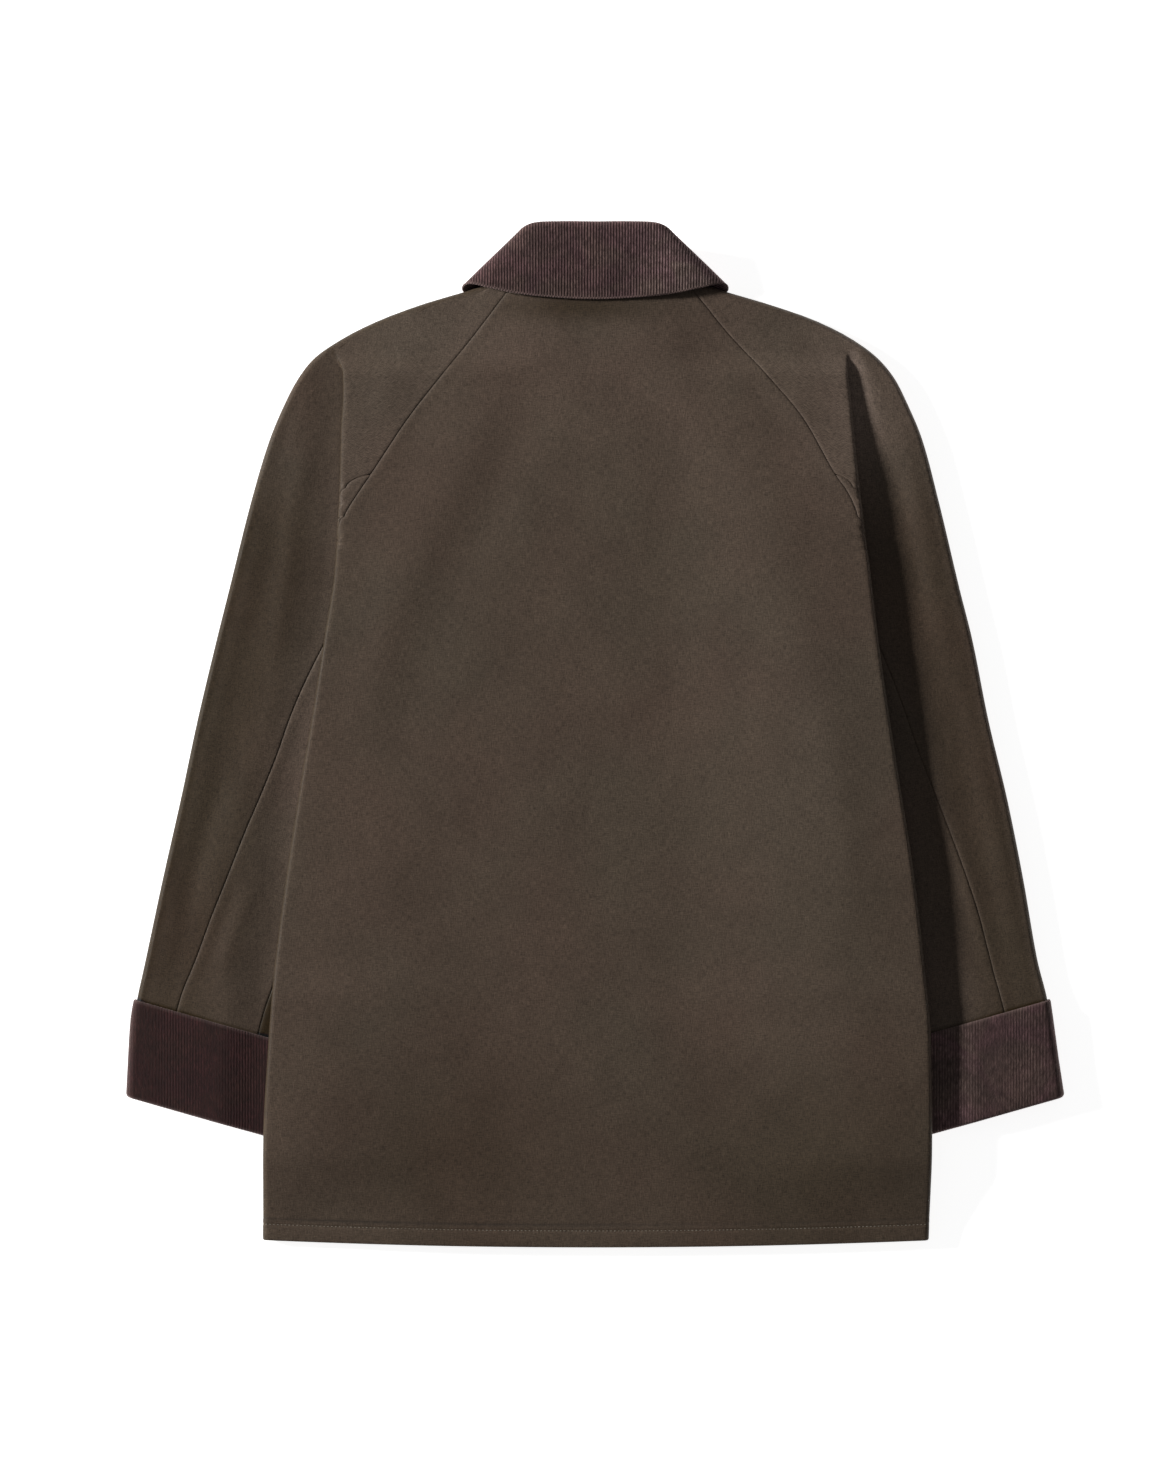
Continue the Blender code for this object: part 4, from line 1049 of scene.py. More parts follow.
def make_object(name: str, points: Array, marks: dict[str, Array], uv: Array,
                material: Material, flip: bool = False, closed: bool = False) -> Object:
    """An object from a grid of points.

    Args:
        name: the piece's name.
        points: rows and columns of points, in millimetres.
        marks: numbers for each point that the finish reads, by name.
        uv: rows and columns of the cloth's own flat places, in millimetres.
        material: its finish.
        flip: turns its faces over.
        closed: joins the last column to the first.

    Returns:
        The object.
    """
    rows, columns = points.shape[:2]
    index = np.arange(rows * columns).reshape(rows, columns)
    if closed:
        index = np.concatenate([index, index[:, :1]], axis=1)
    quads = np.stack([index[:-1, :-1], index[1:, :-1], index[1:, 1:], index[:-1, 1:]], -1).reshape(-1, 4)
    if flip:
        quads = quads[:, ::-1]
    mesh = bpy.data.meshes.new(name)
    mesh.from_pydata((points.reshape(-1, 3) * MM).tolist(), [], quads.tolist())
    corner = np.empty(len(mesh.loops), np.int64)
    mesh.loops.foreach_get("vertex_index", corner)
    flat = (uv.reshape(-1, 2) * MM)[corner]
    mesh.uv_layers.new(name="cloth").data.foreach_set("uv", flat.ravel())
    for mark, values in marks.items():
        layer = mesh.attributes.new(mark, "FLOAT", "POINT")
        layer.data.foreach_set("value", np.ascontiguousarray(values, np.float32).ravel())
    mesh.materials.append(material)
    mesh.shade_smooth()
    return placed(name, mesh)


def thicken(obj: Object, thickness: float, offset: float = 0.0) -> None:
    """Gives a sheet its thickness.

    Args:
        obj: the sheet.
        thickness: in millimetres.
        offset: -1 inside the sheet, 0 half on each side, 1 outside.
    """
    solid = obj.modifiers.new("Cloth", "SOLIDIFY")
    solid.thickness = thickness * MM
    solid.offset = offset
    solid.use_even_offset = False
    solid.use_quality_normals = True


def declare(obj: Object, node: Sequence[str]) -> None:
    """Tells the frame what a piece stands for.

    Args:
        obj: the piece.
        node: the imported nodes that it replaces.
    """
    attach(obj, "root")
    if node:
        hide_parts(*node)
    LOG.info("%s: %d faces", obj.name, len(obj.data.polygons))


# ------------------------------ node trees
MIX_INPUTS, MIXED = (0, 6, 7), 2  # a Mix node's factor and its two colours, and its mixed colour
WAVE_BAND = 0.314  # the width of one band of a wave texture whose scale is 1


class Nodes:
    """A node tree, built a node at a time."""

    family = "ShaderNode"

    def __init__(self, tree: NodeTree) -> None:
        """Takes the tree to build on."""
        self.tree = tree

    def node(self, kind: str, inputs: dict | None = None, **settings: object) -> Node:
        """Adds a node.

        Args:
            kind: the node's type, without the family's name if it belongs to that.
            inputs: values or output sockets by input name or number.
            settings: the node's own options.

        Returns:
            The node.
        """
        made = self.tree.nodes.new(kind if "Node" in kind else self.family + kind)
        for key, value in settings.items():
            setattr(made, key, value)
        for key, value in (inputs or {}).items():
            if isinstance(value, NodeSocket):
                self.tree.links.new(value, made.inputs[key])
            else:
                made.inputs[key].default_value = value
        return made

    def socket(self, kind: str, inputs: dict | None = None, output: int | str = 0,
               **settings: object) -> NodeSocket:
        """Adds a node and gives one of its outputs."""
        return self.node(kind, inputs, **settings).outputs[output]

    def math(self, operation: str, *values: object) -> NodeSocket:
        """A number worked out from up to three others."""
        return self.socket("ShaderNodeMath", dict(enumerate(values)), operation=operation)


class Board(Nodes):
    """A material's nodes."""

    def __init__(self, name: str) -> None:
        """Starts a material.

        Args:
            name: the material's name.
        """
        self.material = bpy.data.materials.new(name)
        self.material.use_nodes = True
        super().__init__(self.material.node_tree)
        self.shader = self.tree.nodes["Principled BSDF"]
        self.place = self.socket("TexCoord", output="Object")

    def flat(self) -> NodeSocket:
        """The cloth's own flat place."""
        return self.socket("UVMap", output="UV", uv_map="cloth")

    def mark(self, name: str) -> NodeSocket:
        """A number stored at each point of the mesh."""
        return self.socket("Attribute", output="Fac", attribute_name=name)

    def mapped(self, vector: NodeSocket, **change: tuple) -> NodeSocket:
        """A place that is stretched by Scale or moved by Location."""
        return self.socket("Mapping", {"Vector": vector, **change})

    def mix(self, share: object, first: object, second: object, way: str = "MIX") -> NodeSocket:
        """A colour between two others, each a socket or three numbers."""
        colours = [c if isinstance(c, NodeSocket) else (*c, 1.0) for c in (first, second)]
        return self.socket("Mix", dict(zip(MIX_INPUTS, (share, *colours))), MIXED, data_type="RGBA",
                           blend_type=way)

    def times(self, colour: NodeSocket, other: NodeSocket) -> NodeSocket:
        """A colour times another one, or times a number."""
        return self.mix(1.0, colour, other, "MULTIPLY")

    def with_painted_shade(self, colour: NodeSocket, shares: tuple[float, ...]) -> NodeSocket:
        """A colour made paler or darker by the mark of painted light and shade.

        Args:
            colour: the colour.
            shares: how strongly its red, green and blue follow the mark.

        Returns:
            The colour with its painted light and shade.
        """
        painted_shade = self.mark("painted_shade")
        parts = [self.math("MULTIPLY_ADD", painted_shade, share, 1.0) for share in shares]
        return self.times(colour, self.socket("CombineColor", dict(enumerate(parts))))

    def noise(self, vector: NodeSocket, scale: float, detail: float = 3.0,
              rough: float = 0.55, bend: float = 0.0) -> NodeSocket:
        """Smooth noise between 0 and 1."""
        values = {"Vector": vector, "Scale": scale, "Detail": detail, "Roughness": rough, "Distortion": bend}
        return self.socket("TexNoise", values, "Fac")

    def span(self, value: object, low: float, high: float, to_low: float = 0.0,
             to_high: float = 1.0) -> NodeSocket:
        """A number moved from one range to another and held inside it."""
        return self.socket("MapRange", dict(enumerate((value, low, high, to_low, to_high))), clamp=True)

    def bump(self, height: object, distance: float, strength: float,
             normal: NodeSocket | None = None) -> NodeSocket:
        """A surface normal bent by a height."""
        given = {} if normal is None else {"Normal": normal}
        return self.socket("Bump", {"Height": height, "Distance": distance, "Strength": strength, **given})

    def finish(self, inputs: dict[str, object]) -> Material:
        """Sets the shader.

        Args:
            inputs: sockets and constants by the shader's input names.

        Returns:
            The material.
        """
        for key, value in inputs.items():
            if isinstance(value, NodeSocket):
                self.tree.links.new(value, self.shader.inputs[key])
            else:
                self.shader.inputs[key].default_value = value
        return self.material



# ------------------------------ finishes
@dataclass(frozen=True)
class WaxedCotton:
    """Plain-woven cotton dressed with wax: mottled olive and brown, paler where it is worn, and with painted
    light and shade.
    """

    name: str = "waxed_cotton_cloth"
    olive: Colour = (0.074, 0.0545, 0.0386)
    brown: Colour = (0.079, 0.0535, 0.0386)
    worn: Colour = (0.15, 0.125, 0.098)
    seam: Colour = (0.018, 0.014, 0.011)
    sheen: Colour = (0.75, 0.68, 0.58)
    painted_shade_shares: tuple[float, ...] = (1.0, 1.1, 1.35)
    thread_pitch: float = 0.0008
    slub_length: float = 0.12
    roughness: tuple[float, float] = (0.52, 0.68)

    def material(self) -> Material:
        """The cloth's material.

        Returns:
            The material.
        """
        board = Board(self.name)
        place, flat = board.place, board.flat()
        patches = board.noise(place, scale=7.5, rough=0.5)
        hands = board.noise(place, scale=26.0, detail=4.0, rough=0.6, bend=0.4)
        fleck = board.noise(flat, scale=900.0, detail=2.0, rough=0.7)
        stretches = (1.0, self.slub_length, 1.0), (self.slub_length, 1.0, 1.0)
        slub, weft = (board.noise(board.mapped(flat, Scale=stretch), scale=1500.0, detail=1.0)
                      for stretch in stretches)
        hue = board.mix(board.span(patches, 0.36, 0.64), self.brown, self.olive)
        dull = board.mix(board.span(hands, 0.3, 0.72), (0.9, 0.9, 0.9), (1.1, 1.1, 1.1))
        threads = board.math("ADD", board.math("MULTIPLY", slub, 0.5), board.math("MULTIPLY", weft, 0.5))
        specks = board.span(fleck, 0.3, 0.7, -0.24, 0.24)
        grain = board.math("ADD", board.span(threads, 0.32, 0.68, 0.6, 1.4), specks)
        colour = board.with_painted_shade(board.times(board.times(hue, dull), grain), self.painted_shade_shares)
        rubbed = board.math("MULTIPLY", board.mark("worn"), board.span(hands, 0.35, 0.7, 0.35, 1.0))
        # the seam colour paints shade into the seams' grooves and the hem's shadow line
        colour = board.mix(board.mark("groove"), board.mix(rubbed, colour, self.worn), self.seam)
        bands = {"Vector": flat, "Scale": WAVE_BAND / self.thread_pitch, "Distortion": 0.6, "Detail": 1.0,
                 "Detail Scale": 0.4}
        warp, woof = (board.socket("TexWave", bands, "Fac", bands_direction=way) for way in "XY")
        weave = board.math("ADD", board.math("MULTIPLY", warp, woof), board.math("MULTIPLY", threads, 0.8))
        handled = board.noise(place, scale=95.0, detail=4.0, rough=0.6, bend=0.6)
        normal = board.bump(weave, 0.00022, 0.5, board.bump(handled, 0.0009, 0.35))
        rough = board.span(hands, 0.25, 0.75, *self.roughness)
        return board.finish({"Base Color": colour, "Roughness": rough, "Normal": normal,
                             "Specular IOR Level": 0.2, "Sheen Weight": 0.04, "Sheen Roughness": 0.5,
                             "Sheen Tint": (*self.sheen, 1.0)})


@dataclass(frozen=True)
class Corduroy:
    """Fine cotton corduroy: plum-brown wales with a brushed nap."""

    name: str = "corduroy_pile"
    pitch: float = 0.0023
    sway: float = 0.0006
    ridge: Colour = (0.15, 0.09, 0.087)
    valley: Colour = (0.026, 0.0138, 0.013)
    edge: Colour = (0.17, 0.12, 0.11)
    sheen: Colour = (0.8, 0.62, 0.6)
    painted_shade_shares: tuple[float, ...] = (1.0, 1.28, 1.28)

    def material(self) -> Material:
        """The pile's material.

        Returns:
            The material.
        """
        board = Board(self.name)
        place, flat = board.place, board.flat()
        wander = board.math("SUBTRACT", board.noise(place, scale=60.0, detail=2.0), 0.5)
        across = board.math("MULTIPLY_ADD", wander, self.sway, board.socket("SeparateXYZ", {0: flat}))
        turns = board.math("MULTIPLY", across, 2 * math.pi / self.pitch)
        swing = board.math("MULTIPLY", board.math("SUBTRACT", 1.0, board.mark("flattened")), 0.5)
        wale = board.math("MULTIPLY_ADD", board.math("COSINE", turns), swing, 0.5)
        pile = board.noise(board.mapped(flat, Scale=(1.0, 0.3, 1.0)), scale=560.0, rough=0.85)
        tufts = board.noise(place, scale=130.0, detail=2.0, rough=0.65)
        nap = board.noise(place, scale=30.0, rough=0.6, bend=0.6)
        hue = board.noise(board.mapped(place, Location=(0.7, 0.3, 0.1)), scale=26.0, detail=2.0, bend=0.8)
        # the wales' stripes are partly the pile's own colour and partly painted light: highlights painted on
        # the ridges, shade painted in the valleys
        lit = board.math("MULTIPLY", board.math("POWER", wale, 1.5), board.span(pile, 0.37, 0.63, 0.2, 1.4))
        lit = board.math("MULTIPLY", lit, board.span(tufts, 0.34, 0.66, 0.62, 1.16))
        brushed = board.mix(board.span(nap, 0.34, 0.66), (0.8, 0.8, 0.81), (1.18, 1.16, 1.16))
        tinged = board.mix(board.span(hue, 0.4, 0.6), (0.98, 1.05, 0.97), (1.03, 0.94, 1.03))
        colour = board.times(board.times(board.mix(lit, self.valley, self.ridge), brushed), tinged)
        worn = board.math("MULTIPLY", board.mark("worn"), board.span(pile, 0.2, 0.8, 0.4, 1.0))
        colour = board.mix(worn, board.with_painted_shade(colour, self.painted_shade_shares), self.edge)
        normal = board.bump(pile, 0.0006, 0.8, board.bump(wale, 0.0005, 0.4))
        return board.finish({"Base Color": colour, "Roughness": board.span(pile, 0.3, 0.7, 0.8, 0.95),
                             "Normal": normal, "Specular IOR Level": 0.2, "Sheen Weight": 0.6,
                             "Sheen Roughness": 0.45, "Sheen Tint": (*self.sheen, 1.0)})


@dataclass(frozen=True)
class Thread:
    """Polished cotton sewing thread."""

    name: str = "sewing_thread"
    dark: Colour = (0.154, 0.133, 0.1022)
    light: Colour = (0.22, 0.19, 0.146)

    def material(self) -> Material:
        """The thread's material.

        Returns:
            The material.
        """
        board = Board(self.name)
        ply = board.noise(board.place, scale=2500.0, detail=2.0)
        colour = board.mix(board.span(ply, 0.3, 0.7), self.dark, self.light)
        return board.finish({"Base Color": colour, "Normal": board.bump(ply, 0.0001, 0.5), "Roughness": 0.6,
                             "Sheen Weight": 0.2})


@dataclass(frozen=True)
class HornResin:
    """Dark brown resin with soft streaks, as coat buttons are moulded in."""

    name: str = "button_horn_resin"
    dark: Colour = (0.022, 0.014, 0.009)
    light: Colour = (0.07, 0.042, 0.024)

    def material(self) -> Material:
        """The resin's material.

        Returns:
            The material.
        """
        board = Board(self.name)
        drawn = board.mapped(board.place, Scale=(1.0, 4.0, 1.0))
        streak = board.noise(drawn, scale=90.0, detail=4.0, rough=0.6, bend=1.4)
        colour = board.mix(board.span(streak, 0.4, 0.68), self.dark, self.light)
        rough = board.span(board.noise(board.place, scale=700.0), 0.3, 0.7, 0.26, 0.4)
        return board.finish({"Base Color": colour, "Roughness": rough, "Coat Weight": 0.15})


@dataclass(frozen=True)
class Finishes:
    """The jacket's finishes, made once."""

    cotton: Material
    corduroy: Material
    thread: Material
    resin: Material


# ------------------------------ rules that repeat
class NodeRule(Nodes):
    """A Geometry Nodes tree with named inputs, applied to a mesh and turned back into plain faces."""

    family = "GeometryNode"

    def __init__(self, name: str, inputs: dict[str, float]) -> None:
        """Makes an empty tree with the given inputs.

        Args:
            name: the tree's name.
            inputs: its named sizes.
        """
        super().__init__(bpy.data.node_groups.new(name, "GeometryNodeTree"))
        sockets = [("Geometry", "INPUT", "NodeSocketGeometry"), ("Geometry", "OUTPUT", "NodeSocketGeometry")]
        for key, way, kind in (*sockets, *((key, "INPUT", "NodeSocketFloat") for key in inputs)):
            self.tree.interface.new_socket(key, in_out=way, socket_type=kind)
        self.inputs = inputs
        self.given = self.node("NodeGroupInput").outputs

    def close(self, geometry: NodeSocket, material: Material) -> None:
        """Ends the tree in real geometry with its material.

        Args:
            geometry: what the rule has made.
            material: its finish.
        """
        real = self.socket("RealizeInstances", {0: geometry})
        dressed = self.socket("SetMaterial", {0: real, "Material": material})
        self.node("NodeGroupOutput", {0: dressed})

    def apply(self, obj: Object) -> None:
        """Runs the tree on an object and keeps the result as its mesh.

        Args:
            obj: the object, with no other modifier yet.
        """
        modifier = obj.modifiers.new(self.tree.name, "NODES")
        modifier.node_group = self.tree
        for item in self.tree.interface.items_tree:
            if item.in_out == "INPUT" and item.name in self.inputs:
                modifier[item.identifier] = float(self.inputs[item.name])
        made = evaluated(obj)
        obj.modifiers.remove(modifier)
        obj.data = made


def evaluated(obj: Object) -> Mesh:
    """An object's mesh with its modifiers carried out.

    Args:
        obj: the object.

    Returns:
        A new mesh, smooth-shaded.
    """
    graph = bpy.context.evaluated_depsgraph_get()
    graph.update()
    made = bpy.data.meshes.new_from_object(obj.evaluated_get(graph), preserve_all_data_layers=True,
                                           depsgraph=graph)
    made.shade_smooth()
    return made


def rib_rule(material: Material, pitch: float, height: float) -> NodeRule:
    """Raises the wales of corduroy on a fine grid.

    Args:
        material: the corduroy.
        pitch: width of a wale, in metres.
        height: how far it stands up, in metres.

    Returns:
        The rule.
    """
    rule = NodeRule("corduroy_wales", {"Pitch": pitch, "Height": height})
    across, weight = (rule.socket("InputNamedAttribute", {"Name": name}, data_type="FLOAT")
                      for name in ("wale", "raised"))
    turns = rule.math("DIVIDE", rule.math("MULTIPLY", across, 2 * math.pi), rule.given["Pitch"])
    crown = rule.math("SQRT", rule.math("MULTIPLY_ADD", rule.math("COSINE", turns), 0.5, 0.5))
    lift = rule.math("MULTIPLY", rule.math("MULTIPLY", crown, weight), rule.given["Height"])
    normal = rule.socket("InputNormal")
    move = rule.socket("ShaderNodeVectorMath", {0: normal, "Scale": lift}, operation="SCALE")
    rule.close(rule.socket("SetPosition", {0: rule.given[0], "Offset": move}), material)
    return rule


def stitch_rule(material: Material, pitch: float, length: float, width: float) -> NodeRule:
    """Lays a stitch at every step along a line of edges.

    Args:
        material: the thread.
        pitch: distance from stitch to stitch, in metres.
        length: a stitch's length, in metres.
        width: a stitch's width, in metres.

    Returns:
        The rule.
    """
    rule = NodeRule("stitches", {"Pitch": pitch, "Length": length, "Width": width, "Seed": 5.0})
    given = rule.given
    line = rule.socket("MeshToCurve", {0: given[0]})
    even = rule.socket("ResampleCurve", {0: line, "Length": given["Pitch"]}, mode="LENGTH")
    bead = rule.socket("MeshUVSphere", {"Segments": 6, "Rings": 6, "Radius": 0.5})
    size = rule.socket("ShaderNodeCombineXYZ", {0: given["Length"], 1: given["Width"], 2: given["Width"]})
    shaped = rule.socket("Transform", {0: bead, "Scale": size})
    tangent = rule.socket("InputTangent")
    turned = rule.socket("FunctionNodeAlignRotationToVector", {"Vector": tangent}, axis="X")
    uneven = rule.socket("FunctionNodeRandomValue", {2: 0.82, 3: 1.1, "Seed": given["Seed"]}, 1,
                         data_type="FLOAT")
    stitches = {"Points": even, "Instance": shaped, "Rotation": turned, "Scale": uneven}
    rule.close(rule.socket("InstanceOnPoints", stitches), material)
    return rule


def line_object(name: str, lines: Sequence[Array]) -> Object:
    """An object of edges along lines.

    Args:
        name: the object's name.
        lines: rows of points, in millimetres.

    Returns:
        The object.
    """
    ends = np.cumsum([len(line) for line in lines])
    edges = [(k, k + 1) for k in range(ends[-1] - 1) if k + 1 not in ends]
    mesh = bpy.data.meshes.new(name)
    mesh.from_pydata((np.concatenate(lines) * MM).tolist(), edges, [])
    return placed(name, mesh)


def stepped(first: float, last: float, step: float) -> list[float]:
    """Levels from first down to last, evenly spaced, without the last."""
    count = max(1, round(abs(first - last) / step))
    return [first + (last - first) * k / count for k in range(count)]


# ------------------------------ the cotton panels
@dataclass
class CottonPanels:
    """The back, the fronts and the sleeves, cut in waxed cotton."""

    finishes: Finishes
    thickness: float = 1.3
    row_step: float = 5.0
    close_step: float = 2.2
    stitch_line: float = 12.8
    hem_turn: float = 14.5
    roughness: float = 0.3
    crease_depth: float = 0.6
    back_columns: int = 84
    front_columns: int = 56
    sleeve_columns: int = 104
    under_sleeve_columns: int = 30
    stitch_points: int = 160
    grain_lean: float = 0.235
    # how dark the painted shade in each panel's seams is
    back_painted_seam_shade: float = 0.6
    front_groove: float = 0.5
    sleeve_painted_seam_shade: float = 0.4
    back_cut: Cut = Cut(0.62, 0.775, 0.385)
    front_cut: Cut = Cut(0.29, 0.76, 0.165)
    top_sleeve_cut: Cut = Cut(0.42, 0.76, 0.2)
    under_sleeve_cut: Cut = Cut(0.14, 0.55, 0.045)
    hem_profile: Curve = field(default_factory=lambda: Curve([
        (0, 0), (1.5, 0.3), (4, 0.42), (10.6, 0.4), (11.8, 0.2), (12.8, -0.3), (13.8, 0.22), (15, 0.3),
        (16.4, 0.24), (17.6, -0.1), (20, 0.0),
    ]))

    def upper_levels(self, first: float) -> list[float]:
        """Levels from the neck down to the underarm, closer where the seams cross the creases.

        Args:
            first: the highest level.

        Returns:
            The rows' levels.
        """
        fine = self.close_step
        rows = stepped(first, 310, self.row_step) + stepped(310, 280, fine) + stepped(280, 212, self.row_step)
        return [*rows, *stepped(212, 140, fine / 1.3), *stepped(140, UNDERARM_LEVEL, fine)]

    def body_levels(self) -> list[float]:
        """Levels from the underarm to the hem."""
        hem = [HEM_LEVEL + d for d in (22, 20, 18.6, 17.6, 16.4, 15, 13.8, 12.8, 11.8, 10.6, 7, 4, 1.5, 0.5)]
        return [*stepped(UNDERARM_LEVEL, HEM_LEVEL + 26, self.row_step), *hem]

    def sleeve_levels(self) -> list[float]:
        """Levels of the sleeves below the underarm, close together at the cuff's upper edge.

        Returns:
            The rows' levels.
        """
        close = [CUFF_LEVEL + above for above in (7.0, 5.0, 3.4, 2.2, 1.1, 0.0, -1.5)]
        upper = stepped(UNDERARM_LEVEL - 1, close[0], self.row_step)
        return [*upper, *close, *stepped(CUFF_LEVEL - 5, -285, self.row_step), -285.0]

    def relief(self, side: Side, points: Array, place: Array) -> Array:
        """The creases of each layer, faded where layers touch or turn.

        Args:
            side: left or right.
            points: the panel's points, mirrored to the right.
            place: their places along the section path.

        Returns:
            A rise for each point.
        """
        across, y = points[..., 0], points[..., 1]
        x, rough = side.value * across, self.roughness
        rise = np.zeros(x.shape)
        if (place < 0.93).any():  # the back, flat at its fold and at the neck
            weight = (1 - soft_step(0.7, 0.9, place)) * (1 - 0.75 * soft_step(340, 358, y))
            slopes = soft_step(200, 240, y) * creases(SHOULDER_CREASES, x, y, 30, 0.3 * rough)
            rise += weight * (creases(BACK_CREASES, x, y, 46, rough) + slopes)
        if (place > 2.15).any():  # the sleeve's top, flat at its edges, its shoulder and its cuff
            beside, inside = across - BODY_EDGE(side, y), OUTLINE(side, y) - across
            weight = soft_step(4, 16, beside) * soft_step(2, 12, inside) * ((place > 2.1) & (place < 2.95))
            weight = weight * soft_step(300, 280, y) * soft_step(-214, -196, y)
            rise += weight * creases(SLEEVE_CREASES, x, y, 26, 0.9 * rough)
        rise *= self.crease_depth
        if (place > 3.2).any():  # the fronts, which only bulge upwards, away from the floor
            clear = soft_step(24, 44, across - 30) * soft_step(30, 50, INNER_EDGE(side, y) - across)
            weight = clear * (place > 3.15) * soft_step(215, 190, y) * soft_step(-380, -340, y)
            rise += np.maximum(weight * creases(FRONT_CREASES, x, y, 40, 0.5 * rough), 0.0)
        return rise

    def painted_light_and_shade(self, side: Side, sheet: Sheet, true_x: Array, hem: bool) -> Array:
        """Painted light (above 0) and painted shade (below 0) on the cloth.

        Args:
            side: left or right.
            sheet: the panel's grid.
            true_x: across, in millimetres, negative on the left.
            hem: whether it is a panel of the body, which ends in a hem.

        Returns:
            A painted shade for each point.
        """
        points, place = sheet.grid(), np.array(sheet.places)
        level = np.array(sheet.levels)[:, None] + 0 * place
        # painted shade on the roll of the body's left edge, which faces the light
        left_fold_painted_shade = soft_step(0.89, 0.94, place) * (place < 1.1) * (true_x < 0)
        painted_shade = sum(mark.strength(true_x, points[..., 1]) for mark in PAINTED_LIGHT_PATCHES)
        painted_shade = painted_shade - (0.55 + 0.12 * soft_step(*NEAR_SHOULDER, level)) * left_fold_painted_shade
        return painted_shade if hem else painted_shade + SLEEVE_PAINTED_LIGHT[side].painted_shade(side, true_x, level, place)

    def dress(self, name: str, side: Side, sheet: Sheet, ends: tuple[Edge, Edge], uv: Array,
              painted_seam_shade: float, hem: bool = False, wide: bool = False) -> Object:
        """Raises a sheet's creases, seams and hem, and makes it an object.

        Args:
            name: the piece's name.
            side: left or right; a wide sheet has both.
            sheet: its grid.
            ends: how its two edges are made.
            uv: its flat places.
            painted_seam_shade: how dark the painted shade in its seams is.
            hem: whether its last rows are a hem.
            wide: whether it runs from side seam to side seam.

        Returns:
            The object.
        """
        points, place = sheet.grid(), np.array(sheet.places)
        first, last = np.array(sheet.first), np.array(sheet.last)
        out, rise = outward(points), np.zeros(points.shape)
        if wide:
            middle = points.shape[1] // 2
            for half, part in ((Side.LEFT, slice(0, middle)), (Side.RIGHT, slice(middle, None))):
                rise[:, part, 2] = self.relief(half, points[:, part] * (half.value, 1, 1), place[:, part])
        else:
            rise[..., 2] = self.relief(side, points, place)
        lift = ends[0].rise(first) + ends[1].rise(last)
        true_x = points[..., 0] * (1 if wide else side.value)
        seam = first if Edge.PLAIN in ends else np.minimum(first, last)
        # painted shade in the grooves of the seams
        groove = painted_seam_shade * np.clip(1 - seam / 0.9, 0, 1)
        # rubbed along the body's folded edge and on the cloth that stands up beside a seam
        worn = 0.1 * hump(np.abs(place), 0.965, 0.05) + 0.08 * hump(seam, 1.9, 0.8)
        if hem:
            above = np.array(sheet.levels)[:, None] - HEM_LEVEL + 0 * place
            uneven = 0.8 + 0.35 * ripple(points[..., 0], points[..., 1], 34, 5.5)
            lift = lift + self.hem_profile(above) * uneven * np.where(wide & (np.abs(place) > 0.9), 0.5, 1.0)
            worn = worn + 0.12 * hump(above, 0, 1.6)
            faint = 1 - 0.5 * soft_step(-180, 120, true_x)
            # a painted shadow line where the hem's turned-up edge shows through, fainter to the right
            groove = np.maximum(groove, 0.85 * faint * hump(above, 17.4, 1.2) * uneven)
        points = points + rise + out * lift[..., None]
        points[..., 2] = np.maximum(points[..., 2], self.thickness / 2 + 0.05)
        marks = {"worn": worn, "groove": groove, "painted_shade": self.painted_light_and_shade(side, sheet, true_x, hem)}
        if hem:
            points, extra = self.turn_hem(points, out)
            marks = {key: np.vstack([m, np.repeat(m[-1:], extra, 0)]) for key, m in marks.items()}
            uv = np.vstack([uv, uv[-1:] - np.arange(1, extra + 1)[:, None, None] * (0.0, 1.0)])
        if not wide:
            points[..., 0] *= side.value
        flip = side is Side.LEFT and not wide
        obj = make_object(name, points, marks, uv, self.finishes.cotton, flip)
        thicken(obj, self.thickness)
        return obj

    def turn_hem(self, points: Array, out: Array) -> tuple[Array, int]:
        """Rolls the last row under and takes it up inside.

        Args:
            points: the sheet's points.
            out: the direction out of the cloth at each of them.

        Returns:
            The points with the hem's rows, and how many rows were added.
        """
        deep = self.thickness + 0.25
        turn = ((0.25, 0.25), (0.45, 0.5 * deep), (0.25, deep - 0.25), (-0.6, deep), (-7.3, deep),
                (-self.hem_turn - 0.3, deep))
        rows = [points[-1] - out[-1] * within - np.array([0.0, down, 0.0]) for down, within in turn]
        return np.concatenate([points, np.array(rows)]), len(rows)

